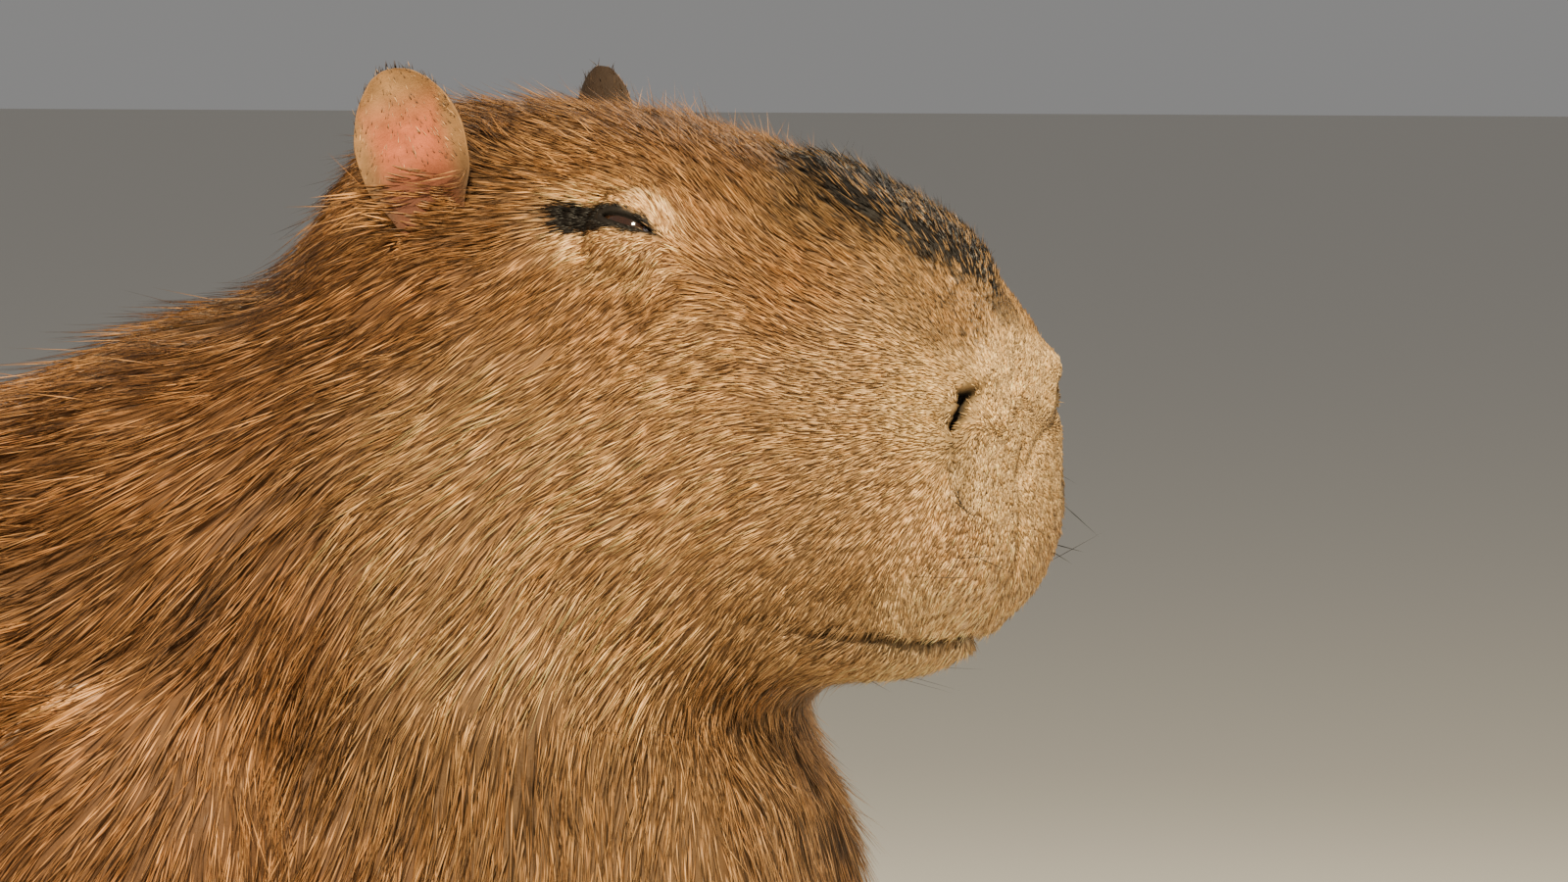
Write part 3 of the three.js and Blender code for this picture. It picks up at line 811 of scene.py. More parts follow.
# %% Colours
def srgb(code):
    """A hex colour as linear light."""
    value = np.array([int(code[i:i + 2], 16) for i in (1, 3, 5)]) / 255
    return np.where(value <= 0.04045, value / 12.92, ((value + 0.055) / 1.055) ** 2.4)


TINTS = {  # root and tip of the hair
    "nose": ("#664e33", "#cdab78"),
    "lip": ("#775d40", "#d6b688"),
    "muzzle": ("#5b4128", "#cea677"),
    "snout": ("#190f08", "#8c6a42"),
    "brow": ("#3f2614", "#bd8c58"),
    "cheek": ("#442614", "#e8b87e"),
    "crown": ("#2a190b", "#a57648"),
    "throat": ("#2a190c", "#b98a58"),
    "neck": ("#30180a", "#bb8550"),
    "body": ("#2e180b", "#b47e4b"),
    "back": ("#2c1709", "#a87142"),
    "belly": ("#3e2c1c", "#bb9a70"),
    "leg": ("#26180e", "#866243"),
    "foot": ("#1b130d", "#5c4834"),
}

# %% The comb
COMB = [
    # place, direction of the hair, length, lift in degrees, tint
    ((0, 0, -10), (0.1, 0.4, -1), 2.6, 16, "nose"),
    ((-2, 14, 12), (-0.3, 0.3, 1), 2.6, 16, "nose"),
    ((-4, 26, -20), (-0.1, 0.4, -1), 3.4, 16, "nose"),
    ((-14, 44, 4), (-1, 0.2, 0.1), 4, 18, "nose"),
    ((-8, 38, -36), (-0.2, 0.4, -0.9), 5.5, 16, "muzzle"),
    ((-14, 22, 36), (-0.7, 0, 0.7), 5, 24, "snout"),
    ((-32, 0, 65), (-0.8, 0, 0.6), 8, 34, "snout"),
    ((-46, 48, 12), (-1, 0, -0.05), 9, 16, "muzzle"),
    ((-64, 24, 76), (-0.8, -0.1, 0.5), 12, 26, "snout"),
    ((-66, 46, 44), (-0.85, -0.1, 0.5), 12, 17, "brow"),
    ((-30, 48, -20), (-0.8, 0, -0.6), 8, 15, "muzzle"),
    ((-46, 50, -44), (-0.8, 0, -0.8), 10, 15, "muzzle"),
    ((-20, 34, -64), (0.1, 0.35, -1), 6, 18, "lip"),
    ((-80, 56, -30), (-0.85, 0, -0.6), 14, 14, "cheek"),
    ((-100, 30, 92), (-0.9, -0.05, 0.35), 16, 25, "crown"),
    ((-130, 14, 103), (-1, 0, 0.03), 20, 22, "crown"),
    ((-98, 46, 74), (-0.7, -0.2, 0.7), 14, 17, "brow"),
    ((-122, 44, 84), (-0.95, -0.1, 0.25), 13, 16, "brow"),
    ((-146, 46, 84), (-1, 0, 0), 15, 15, "brow"),
    ((-118, 58, 40), (-0.7, 0, -0.7), 11, 12, "brow"),
    ((-150, 62, 48), (-0.75, 0, -0.75), 16, 12, "brow"),
    ((-96, 56, 22), (-0.95, 0, -0.3), 13, 13, "cheek"),
    ((-110, 62, -14), (-0.85, 0, -0.55), 17, 13, "cheek"),
    ((-116, 64, -62), (-0.75, 0, -0.75), 22, 13, "cheek"),
    ((-160, 74, 10), (-0.8, 0, -0.75), 24, 13, "cheek"),
    ((-172, 78, -56), (-0.65, 0, -0.85), 30, 13, "cheek"),
    ((-200, 18, 108), (-1, 0, 0), 27, 18, "crown"),
    ((-178, 60, 78), (-0.95, 0.05, -0.15), 18, 14, "crown"),
    ((-184, 46, 100), (-0.5, 0.4, 0.9), 19, 26, "crown"),
    ((-188, 66, 68), (-0.8, 0.4, 0.3), 22, 24, "crown"),
    ((-192, 70, 52), (-0.8, 0.1, -0.6), 22, 14, "neck"),
    ((-218, 70, 52), (-0.85, 0.1, -0.55), 32, 14, "neck"),
    ((-38, 14, -88), (-0.4, 0.1, -1), 8, 20, "lip"),
    ((-60, 36, -84), (-0.7, 0.2, -0.8), 12, 18, "muzzle"),
    ((-92, 26, -96), (-0.5, 0, -1), 20, 22, "throat"),
    ((-290, 10, 47), (-1, 0, -0.3), 46, 15, "crown"),
    ((-258, 92, 12), (-0.7, 0.1, -0.75), 44, 14, "neck"),
    ((-226, 106, -62), (-0.3, 0, -1), 42, 14, "neck"),
    ((-150, 88, -120), (-0.05, 0, -1), 36, 14, "throat"),
    ((-90, 24, -160), (0.1, 0.05, -1), 34, 16, "throat"),
    ((-96, 40, -240), (-0.2, 0, -0.95), 32, 14, "throat"),
    ((-200, 130, -180), (-0.3, 0, -1), 42, 13, "body"),
    ((-330, 150, -120), (-0.65, 0, -0.8), 46, 13, "body"),
    ((-330, 60, 0), (-1, 0.1, -0.25), 50, 14, "neck"),
    ((-420, 30, 12), (-1, 0, -0.05), 52, 14, "back"),
    ((-450, 160, -110), (-0.85, 0, -0.55), 52, 13, "body"),
    ((-650, 30, 46), (-1, 0, -0.03), 54, 14, "back"),
    ((-650, 178, -150), (-0.8, 0, -0.6), 54, 13, "body"),
    ((-580, 140, -290), (-0.9, 0, -0.3), 36, 12, "belly"),
    ((-500, 0, -318), (-1, 0, 0), 12, 8, "belly"),
    ((-900, 20, 10), (-0.9, 0, -0.45), 54, 14, "back"),
    ((-1012, 20, -130), (-0.2, 0, -1), 48, 14, "body"),
    ((-960, 120, -150), (-0.45, 0.1, -0.9), 46, 13, "body"),
    ((-840, 195, -150), (-0.55, 0, -0.85), 44, 13, "body"),
    ((-720, 190, -240), (-0.3, 0, -0.95), 32, 13, "body"),
    ((-315, 168, -190), (-0.2, 0, -1), 36, 13, "body"),
    ((-350, 160, -265), (-0.3, 0, -0.8), 26, 13, "leg"),
    ((-260, 155, -275), (0.9, 0, -0.3), 18, 12, "leg"),
    ((-185, 130, -285), (1, 0, -0.2), 10, 12, "foot"),
    ((-120, 100, -300), (1, 0, -0.1), 6, 12, "foot"),
    ((-800, 205, -250), (-0.8, 0, -0.5), 26, 13, "leg"),
    ((-925, 190, -285), (-0.4, 0, -0.9), 16, 12, "leg"),
    ((-820, 205, -298), (1, 0, -0.1), 7, 12, "foot"),
    ((-720, 192, -305), (1, 0, 0), 5, 12, "foot"),
]
NEARNESS_POWER = 4.5  # how fast the say of a row falls with distance
BLUR = 4  # mm, added to each distance
SHORTER_BY_EYE = 0.62


def combed(points):
    """The lie, length, lift and two colours of the hair at each point: a mean of the comb's rows."""
    place = head_places(points)
    flat = sided(place)
    spots = np.array([row[0] for row in COMB], float)
    ways = unit(np.array([row[1] for row in COMB], float))
    sizes = np.array([row[2:4] for row in COMB], float)
    roots, tips = (np.array([srgb(TINTS[row[4]][k]) for row in COMB]) for k in (0, 1))
    distance = np.linalg.norm(flat[:, None, :] - spots[None], axis=2)
    weight = 1 / (distance + BLUR) ** NEARNESS_POWER
    weight /= weight.sum(axis=1, keepdims=True)
    way = weight @ ways
    way[:, 1] *= np.sign(place[:, 1])
    way = turned_way(way, turn_share(points))
    length, lift = (weight @ sizes).T
    a, b, out = round_eyes(points)
    by_eye = (out > -6) * (1 - smoothstep(oval(a + 3, b, 30, 14), 0.35, 1.0))
    return way, length * (1 - SHORTER_BY_EYE * by_eye), lift, weight @ roots, weight @ tips


# %% Markings and painted shade on top of the comb
# Near black: the bare lids, the gland and the bristles, and painted shade in the nostrils, the nostril
# creases and the mouth line
DARK = srgb("#0e0907")
EYE_PATCH = srgb("#efc48c")
EYE_PATCH_ROOT = srgb("#70482a")
# Painted shade: a dark brown laid on skin and hair below the eye and in the folds of the neck
PAINTED_SHADE = srgb("#3a2a20")  # the shaded skin below the eye and in the folds of the neck
SINES = 7


def soft_noise(points, size, seed):
    """A smooth noise, mostly between -1 and 1: a sum of sine waves in seeded directions."""
    draw = np.random.default_rng(seed)
    total = np.zeros(len(points))
    for _ in range(SINES):
        way = unit(draw.normal(size=3))
        total += np.sin(points @ way * (2 * np.pi / size * draw.uniform(0.6, 1.6)) + draw.uniform(0, 6.3))
    return total / 4


def mixed(first, second, share):
    """The first colour at a share of 0, the second at 1."""
    return first + (second - first) * np.clip(share, 0, 1)[..., None]


def marked(points, root, tip):
    """Root and tip colours with the eye patch, black lids and gland, and painted shade below the eye, in
    the neck's folds, the nostrils, the nostril creases and the mouth.
    """
    place = head_places(points)
    a, b, out = round_eyes(points)
    patch = (out > -4) * (1 - smoothstep(oval(a + 3, b - 1, 33, 17), 0.6, 1.1))
    tip, root = mixed(tip, EYE_PATCH, patch * 0.9), mixed(root, EYE_PATCH_ROOT, patch * 0.85)
    lid = (out > -4) * (1 - smoothstep(on_black(a, b) + 0.12 * soft_noise(points, 5, 9), 0.85, 1.1))
    tip, root = mixed(tip, DARK, lid), mixed(root, DARK, lid)
    # Painted shade in the dent below the eye
    shade_below_eye = bell(far_from(place, (-118, 58, 40)), 5.5) * 0.8
    gland = smoothstep(gland_rim(place) + 0.25 * soft_noise(place, 9, 5), -0.42, 0.26)
    # Painted shade in the nostrils, along the nostril creases and along the mouth line, which is then
    # joined with the gland's own black
    nostril = 1.5 * bell(line_distance(place, LINES["nostril"]), LINE_WIDTH)
    crease = bell(line_distance(place, LINES["nostril_crease"]), 5) * 0.4
    mouth = bell(line_distance(place, LINES["mouth"]), LINE_WIDTH) * 0.9 * smoothstep(place[:, 0], -88, -46)
    black_and_shade = np.maximum.reduce([gland, nostril, crease, mouth])
    # Painted shade along the folds on the right side of the neck
    fold_shades = [bell(line_distance(place, line), width * 1.1) for line, _, width in FOLDS]
    fold_shade = (place[:, 1] < 0) * np.maximum.reduce(fold_shades)
    tip = mixed(mixed(tip, PAINTED_SHADE, np.maximum(shade_below_eye, fold_shade * 0.72)), DARK, black_and_shade)
    root = mixed(mixed(root, PAINTED_SHADE, np.maximum(shade_below_eye, fold_shade * 0.8)), DARK, black_and_shade)
    return root, tip


# %% Painting the skin
def paint(piece, name, colours):
    """A colour for each vertex, as an attribute."""
    rgba = np.concatenate([colours, np.ones((len(colours), 1))], axis=1).astype(np.float32)
    layer = piece.data.color_attributes.new(name, "FLOAT_COLOR", "POINT")
    layer.data.foreach_set("color", rgba.ravel())


EAR_PINK = srgb("#a05539")
# Dark brown for the back of the ear, and for painted shade low in the cup
EAR_BACK_AND_CUP_SHADE = srgb("#2c2018")
EAR_RIM = srgb("#785c3b")
FOOT_TINT = srgb("#2a2019")


def place_on_ear(points):
    """Height over the ear's root, and distance from its midline as a share of its half width."""
    local = sided(head_places(points)) + [0, 0, NOSE_HEIGHT] - np.array(EAR_ROOT)
    up, across = ear_axes(1)[:2]
    return np.stack([local @ up, np.abs(local @ across) / EAR["width"]], axis=1)


def in_cup(points, facing, names):
    """True on the inner side of an ear, which faces forwards and outwards."""
    inner = np.zeros(len(points), bool)
    for side in (-1, 1):
        front = turned_way(ear_axes(side)[2])
        inner |= (names == "ear") & (points[:, 1] * side > 0) & (facing @ front > 0.1)
    return inner


def skin_colours(points, facing, parts):
    """The undercoat: darker than the hair, partly the skin's own colour and partly painted shade under long
    hair, with bare skin on ears, lids, gland and feet and painted shade low in the ears' cups.
    """
    _, length, _, root, tip = combed(points)
    root, tip = marked(points, root, tip)
    # Mostly root colour, and darker where the hair is long: partly the skin's own dark, partly painted
    # shade in the gaps between long hairs
    colour = mixed(root, tip, 0.12 + 0.26 * smoothstep(-length, -9, -4))
    names = np.array(PART_NAMES)[parts]
    inner = in_cup(points, facing, names)
    height, width = place_on_ear(points).T
    rim = np.maximum(smoothstep(width, 0.4, 0.85), smoothstep(height, 24, 44))
    inside = mixed(np.broadcast_to(EAR_PINK, colour.shape), EAR_RIM, rim * 0.9)
    # Painted shade: the inside of the cup darkens towards its base
    inside = mixed(inside, EAR_BACK_AND_CUP_SHADE, 0.8 * smoothstep(22 - height, 0, 18))
    inside = inside * (1 + 0.16 * soft_noise(points, 7, 15) + 0.1 * soft_noise(points, 2.5, 16))[:, None]
    ear_colour = np.where(inner[:, None], inside, EAR_BACK_AND_CUP_SHADE)
    colour = np.where((names == "ear")[:, None], ear_colour, colour)
    feet = np.char.find(names, "foot") > 0
    return np.where(feet[:, None], 0.5 * FOOT_TINT + 0.5 * colour, colour)


paint(skin, "coat_colour", skin_colours(unpushed, normals_of(skin.data), part_of))

# %% [markdown]
# ## Hairs
# The hairs are solid mesh, because particle hair is lost when the model leaves Blender. Each is a
# slim splinter of four points and four triangles: a sunken root, a left and a right shoulder and a
# tip. They are drawn over the skin with a chance that falls with a hair's own area, so that every
# part of the body is covered to the same depth. Neighbours share a clump and lean to a common tip,
# which breaks the coat into the locks that coarse, damp hair falls into.

# %% Drawing roots on the skin
HAIR_COUNT = 362000
THINNEST, THICKER = 0.25, 0.009  # a hair's width in mm: at the least, and more for each mm of length
UNDER_LID = (21, 15)  # half axes in mm of the skin that the lids' cap hides
EAR_BASE = 11  # mm over the ear's root: below this the hair of the neck covers the ear


def skin_samples(count):
    """Points and normals spread over the skin, denser where the hair is short, and their part."""
    mesh = skin.data
    mesh.calc_loop_triangles()
    corners = np.empty(len(mesh.loop_triangles) * 3, np.int32)
    mesh.loop_triangles.foreach_get("vertices", corners)
    corners = corners.reshape(-1, 3)
    a, b, c = (skin_verts[corners[:, k]] for k in range(3))
    area = np.linalg.norm(np.cross(b - a, c - a), axis=1) / 2
    centre = sum(unpushed[corners[:, k]] for k in range(3)) / 3
    length = combed(centre)[1]
    normal = normals_of(mesh)
    grown = haired(centre, normal[corners[:, 0]], part_of[corners[:, 0]])
    chance = area / (length * (THINNEST + THICKER * length)) * grown
    draw = np.random.default_rng(11)
    chosen = draw.choice(len(corners), count, p=chance / chance.sum())
    u, v = draw.random((2, count, 1))
    u, v = np.where(u + v > 1, 1 - u, u), np.where(u + v > 1, 1 - v, v)
    corner = corners[chosen]
    weights = (1 - u - v, u, v)
    spots, smooth, facing = (
        sum(w * values[corner[:, k]] for k, w in enumerate(weights))
        for values in (skin_verts, unpushed, normal)
    )
    return spots, smooth, unit(facing), part_of[corner[:, 0]]


def haired(points, facing, parts):
    """The share of hair that grows at each place: none on the edge of the lids and in the nostrils,
    and less on the gland, in the cups of the ears, on the feet and under the belly."""
    place = head_places(points)
    share = np.ones(len(points))
    names = np.array(PART_NAMES)[parts]
    a, b, out = round_eyes(points)
    share *= 1 - (out > -5) * (1 - smoothstep(oval(a + 1.5, b, *LID["bare"]), 0.7, 1.0))
    share *= 1 - (out > -5) * (names == "trunk") * (oval(a, b, *UNDER_LID) < 0.6)
    share *= 1 - 0.45 * smoothstep(gland_rim(place), 0.02, 0.25)
    to_nostril = line_distance(place, LINES["nostril"])
    share *= 1 - 0.6 * bell(to_nostril, 8)
    share *= 1 - smoothstep(-to_nostril, -3.4, -2.2)
    share *= np.where((points[:, 2] < 6) & (names == "trunk"), 0.15, 1.0)
    share *= np.where(np.char.find(names, "foot") > 0, smoothstep(points[:, 2], 3, 12) * 0.8, 1.0)
    height, width = place_on_ear(points).T
    middle_of_cup = in_cup(points, facing, names) & (height > EAR_BASE) & (width < 0.72)
    return share * np.where(middle_of_cup, 0.55, 1.0)


roots, smooth_roots, facing, root_part = skin_samples(HAIR_COUNT)
print("hairs:", len(roots))

# %% The lie of each hair
draw = np.random.default_rng(23)
way, length, lift, root_colour, tip_colour = combed(smooth_roots)
root_colour, tip_colour = marked(smooth_roots, root_colour, tip_colour)
root_names = np.array(PART_NAMES)[root_part]
on_ear = (root_names == "ear") & (place_on_ear(smooth_roots)[:, 0] > EAR_BASE)
EAR_HAIR, EAR_WAY = 4.5, np.array([-0.25, 0, 1.0])  # the length and lie of the hair on the ears
length = np.where(on_ear, EAR_HAIR, length)
way = np.where(on_ear[:, None], EAR_WAY, way)


CELL_STRIDE = 4099  # more than the number of cells along any side of the body


def clumps(points, size, seed):
    """A number for the clump that each root is in: cells of a grid that a smooth noise warps."""
    warp = np.stack([soft_noise(points, size * 6, seed + k) for k in range(3)], axis=1) * size
    cell = np.floor((points + warp) / size).astype(np.int64)
    number = cell @ np.array([1, CELL_STRIDE, CELL_STRIDE ** 2])
    return np.unique(number, return_inverse=True)[1].ravel()


def mean_in(groups, values):
    """The mean of the values in each group, given back to every member."""
    count = np.bincount(groups)[:, None]
    total = np.stack([np.bincount(groups, values[:, k]) for k in range(values.shape[1])], axis=1)
    return (total / count)[groups]


CLUMP_SIZES = [  # hairs from this length up to this one, size of the clump, in mm
    (0, 9, 2.6),
    (9, 20, 4.6),
    (20, 36, 7.0),
    (36, 99, 9.0),
]
clump = np.zeros(len(roots), np.int64)
for k, (shortest, longest, size) in enumerate(CLUMP_SIZES):
    chosen = (length >= shortest) & (length < longest)
    clump[chosen] = clumps(roots[chosen], size, 31 + k) + clump.max() + 1
clump = np.unique(clump, return_inverse=True)[1].ravel()
clump_draw = np.random.default_rng(41).random((clump.max() + 1, 4))[clump]

place = head_places(smooth_roots)
forehead = smoothstep(place[:, 2], 72, 90) * smoothstep(place[:, 0], -175, -140) * (place[:, 0] < -40)
stray = draw.random(len(roots)) < 0.05 + 0.06 * forehead
length = length * draw.uniform(0.7, 1.15, len(roots)) * (0.86 + 0.28 * clump_draw[:, 0])
lift = np.radians(lift * (0.5 + 0.9 * clump_draw[:, 1]) * draw.uniform(0.55, 1.45, len(roots)))
lift = np.where(stray, lift * (1.6 + 1.1 * forehead), lift)

# Whiskers on the lips and bristles under the chin: few, dark and stiff
BRISTLES = [((-14, 42, -32), 24, 0.002), ((-72, 20, -98), 26, 0.006)]  # place, radius, chance
BRISTLE_LENGTH, BRISTLE_LIFT = (15, 34), (18, 42)  # from, to: mm and degrees
bristle = np.zeros(len(roots), bool)
for spot, radius, chance in BRISTLES:
    bristle |= (far_from(place, spot) < radius) & (draw.random(len(roots)) < chance)
bristle &= ~on_ear
side_of = np.sign(place[:, 1])[:, None]
forwards = turned_way(np.array([0.7, 0, -0.25]) + side_of * [0, 0.35, 0])
way = np.where(bristle[:, None], forwards, way)
length = np.where(bristle, draw.uniform(*BRISTLE_LENGTH, len(roots)), length)
lift = np.where(bristle, np.radians(draw.uniform(*BRISTLE_LIFT, len(roots))), lift)
stray |= bristle

side_way = unit(np.cross(facing, way))
sway = 0.09 * draw.normal(size=len(roots)) + 0.26 * (clump_draw[:, 2] - 0.5)
sway = sway + 0.16 * soft_noise(roots, 60, 7)
flat_way = unit(np.cross(side_way, facing))
flat_way = unit(flat_way + side_way * sway[:, None])
side_way = unit(np.cross(facing, flat_way))
print("clumps:", clump.max() + 1, "mean length in mm:", length.mean().round(1))

# %% Root, shoulders and tip
SUNK = 0.8  # mm of root under the skin
DROOP = 0.66  # a hair bends back, so its tip stands lower than its lift says
FOLLOW = 0.85  # how much of a tip's error in height is made good
CLEAR = 0.6  # mm between the skin and a hair's middle
BRISTLE_HALF_WIDTH = 0.16
reach = length[:, None]
tip = roots + flat_way * reach * np.cos(lift)[:, None] + facing * reach * np.sin(lift)[:, None] * DROOP
pull = (0.08 + 0.34 * clump_draw[:, 3]) * (~stray)
tip = tip + (mean_in(clump, tip) - tip) * pull[:, None]

# Over a hollow or a bulge a straight hair would dive or stand off, so its tip follows the skin
bvh = BVHTree.FromPolygons(skin_verts.tolist(), [list(p.vertices) for p in skin.data.polygons])


def over_skin(points):
    """The height of each point over the skin, and the way out of the skin there."""
    hits = np.array([(*hit[0], *hit[1]) for hit in map(bvh.find_nearest, points.tolist())])
    return np.einsum("ij,ij->i", points - hits[:, :3], hits[:, 3:]), hits[:, 3:]


height, outwards = over_skin(tip)
wanted = length * np.sin(lift) * DROOP
rise = np.clip((wanted - height) * FOLLOW, -14, 22) * ~(stray | on_ear)
tip = tip + outwards * rise[:, None]
width = (THINNEST + THICKER * length) * draw.uniform(0.7, 1.3, len(roots)) * 0.5
width = np.where(bristle, BRISTLE_HALF_WIDTH, width)[:, None]
base = roots - facing * SUNK
arrow = unit(tip - base)
broad = unit(np.cross(facing, arrow))
high = np.cross(arrow, broad)
middle = base + (tip - base) * draw.uniform(0.3, 0.5, (len(roots), 1))
height, outwards = over_skin(middle)
middle = middle + outwards * (np.clip(CLEAR - height, 0, 5) * ~on_ear)[:, None]
shoulders = [middle + (broad * c + high * s) * width for c, s in ((1, 0.7), (-1, 0.4))]
hair_points = np.stack([base, *shoulders, tip], axis=1)
hair_points[..., 2] = np.maximum(hair_points[..., 2], 0.5 + 0.8 * draw.random((len(roots), 1)))

# %% The colours of each hair
# A third of the hairs have golden tips, a fifth are dark, and the rest are in between.
pale = in_cup(smooth_roots, facing, root_names) & (draw.random(len(roots)) < 0.4)
ear_tint = np.where(pale[:, None], srgb("#b08c66"), srgb("#3a291c"))
tip_colour = np.where(on_ear[:, None], ear_tint, tip_colour)
root_colour = np.where(on_ear[:, None], ear_tint * 0.5, root_colour)
kind = draw.random(len(roots))
golden, dusky = kind < 0.33, kind > 0.8
shade = draw.uniform(0.8, 1.25, len(roots)) * (0.75 + 0.5 * clump_draw[:, 0])
shade = (shade * (1 + 0.16 * soft_noise(roots, 90, 3)))[:, None]
warm = clump_draw[:, 1:2] - 0.5
tips = mixed(root_colour, tip_colour, 0.62) * [1.06, 0.97, 0.88] * shade * (1 + warm * [0.12, 0, -0.3])
tips = np.where(golden[:, None], tip_colour * 1.45 * shade, tips)
tips = np.where(dusky[:, None], mixed(root_colour, tip_colour, 0.16), tips)
over_gland = (gland_rim(place) > 0) & (draw.random(len(roots)) < 0.3)
tips = np.where(over_gland[:, None], srgb(TINTS["snout"][1]) * shade, tips)
middles = mixed(root_colour * shade, tips, np.where(golden, 0.5, 0.7))
ends = np.stack([root_colour * 0.65, middles, middles, tips], axis=1)
hair_colours = np.where(bristle[:, None, None], DARK, ends).clip(0, 1)

# %% [markdown]
# ## Coat pieces
# The export bakes colours through a map on each piece, so the coat is split into pieces of modest
# size. In each map a hair is a tiny kite at its root's own place on the unwrapped body: the body is
# rolled out round its long axis, with the way along it as the other direction.

# %% Splitting and mapping
HAIRS_A_PIECE = 48500
PATCH = 0.0015  # half the size of a kite on the map
KITE = np.array([[0, -1], [-0.8, 0], [0.8, 0], [0, 1]]) * PATCH
HAIR_FACES = np.array([[0, 2, 1], [3, 1, 2], [0, 1, 3], [0, 3, 2]])
ROLL_HEIGHT = 150.0


def rolled_out(points):
    """Round and along the body: the angle round its long axis, and the place along it."""
    round_body = np.arctan2(points[:, 1], points[:, 2] - ROLL_HEIGHT) / (2 * np.pi) + 0.5
    along_body = points[:, 0]
    low, high = along_body.min(), along_body.max()
    return np.stack([round_body, (along_body - low) / max(high - low, 1)], axis=1) * 0.99 + 0.005


def coat_piece(name, chosen, material):
    """One mesh of the chosen hairs, with its colours and its map."""
    mesh = bpy.data.meshes.new(name)
    verts = ((hair_points[chosen].reshape(-1, 3) + SHIFT) * MM).astype(np.float32)
    faces = (HAIR_FACES[None] + 4 * np.arange(len(chosen))[:, None, None]).reshape(-1).astype(np.int32)
    mesh.vertices.add(len(verts))
    mesh.vertices.foreach_set("co", verts.ravel())
    mesh.loops.add(len(faces))
    mesh.loops.foreach_set("vertex_index", faces)
    mesh.polygons.add(len(faces) // 3)
    mesh.polygons.foreach_set("loop_start", np.arange(0, len(faces), 3, dtype=np.int32))
    mesh.update(calc_edges=True)
    mesh.validate()
    layer = mesh.uv_layers.new(name="OFBake")
    patch = (rolled_out(roots[chosen])[:, None, :] + KITE[None]).reshape(-1, 2)[faces]
    layer.data.foreach_set("uv", patch.astype(np.float32).ravel())
    mesh.shade_smooth()
    piece = linked(name, mesh)
    paint(piece, "coat_colour", hair_colours[chosen].reshape(-1, 3))
    mesh.materials.append(material)
    return piece


# %% [markdown]
# ## Materials
# Hair is rough along its cuticle but still catches light, so the coat has a middling roughness and
# takes its colour from the painted hairs. Skin shows little, and gets pores and a duller surface.
# The eye is wet: a smooth dark ball under a clear coat. Claws are worn horn, mottled and matt. All
# four grew, so one function makes them: a noise varies the colour, and on skin and horn a noise also
# varies the gloss and raises a relief.

# %% Nodes
def new_material(name):
    """A material, its tree of nodes and its shader."""
    material = bpy.data.materials.new(name)
    material.use_nodes = True
    tree = material.node_tree
    return material, tree, tree.nodes["Principled BSDF"]


def fill(tree, node, inputs):
    """Gives a node's inputs their values, or a link where the value is another node's output."""
    for key, value in inputs.items():
        if isinstance(value, bpy.types.NodeSocket):
            tree.links.new(value, node.inputs[key])
        else:
            node.inputs[key].default_value = value


def add_node(tree, kind, output, inputs=(), **settings):
    """Adds a node, sets its settings, fills its inputs and gives back one of its outputs."""
    node = tree.nodes.new(kind)
    for key, value in settings.items():
        setattr(node, key, value)
    fill(tree, node, dict(inputs))
    return node.outputs[output]


def grown_material(name, grain, colours, constants, pores=None, rough=None, relief=None):
    """A surface that grew. Grain and pores are noises: size in mm, detail and roughness.
    The grain blends two hex colours, or makes the painted colour darker and lighter by two factors.
    The pores vary the roughness over a range, and raise a relief of a depth in mm and a strength."""
    material, tree, shader = new_material(name)
    where = add_node(tree, "ShaderNodeTexCoord", "Object")
    noises = [
        add_node(
            tree, "ShaderNodeTexNoise", "Fac",
            {"Vector": where, "Scale": 1000 / size, "Detail": detail, "Roughness": share},
        )
        for size, detail, share in ([grain, pores] if pores else [grain])
    ]
    if isinstance(colours[0], str):
        colour = add_node(tree, "ShaderNodeValToRGB", "Color", {"Fac": noises[0]})
        for stop, code in zip(colour.node.color_ramp.elements, colours):
            stop.color = (*srgb(code), 1)
    else:
        shades = {"Value": noises[0], "To Min": colours[0], "To Max": colours[1]}
        factor = add_node(tree, "ShaderNodeMapRange", "Result", shades)
        painted = add_node(tree, "ShaderNodeAttribute", "Color", attribute_name="coat_colour")
        colour = add_node(
            tree, "ShaderNodeVectorMath", "Vector", {0: painted, 1: factor}, operation="MULTIPLY"
        )
    fill(tree, shader, {"Base Color": colour, **constants})
    if pores:
        gloss = {"Value": noises[1], "To Min": rough[0], "To Max": rough[1]}
        bump = {"Height": noises[1], "Distance": relief[0] * MM, "Strength": relief[1]}
        fill(tree, shader, {
            "Roughness": add_node(tree, "ShaderNodeMapRange", "Result", gloss),
            "Normal": add_node(tree, "ShaderNodeBump", "Normal", bump),
        })
    return material


# %% Skin, hair, wet eye and horn
# Skin under the hair is mottled, and its pores and scales make it matt
undercoat = grown_material(
    "skin_and_undercoat", grain=(3.0, 4, 0.6), colours=(0.7, 1.2), constants={"Specular IOR Level": 0.25},
    pores=(1.1, 6, 0.7), rough=(0.5, 0.85), relief=(0.5, 0.6),
)
# Coarse hair has a soft gloss, and no two tufts are quite the same colour
hair = grown_material(
    "coarse_hair", grain=(7.0, 4, 0.6), colours=(0.8, 1.15),
    constants={"Roughness": 0.5, "Specular IOR Level": 0.4},
)
# The eye is a dark iris under tears, which give one small sharp highlight
wet = grown_material(
    "wet_eye", grain=(0.8, 3, 0.6), colours=("#0c0705", "#2e1a0e"),
    constants={"Roughness": 0.06, "Coat Weight": 1.0, "Coat Roughness": 0.02},
)
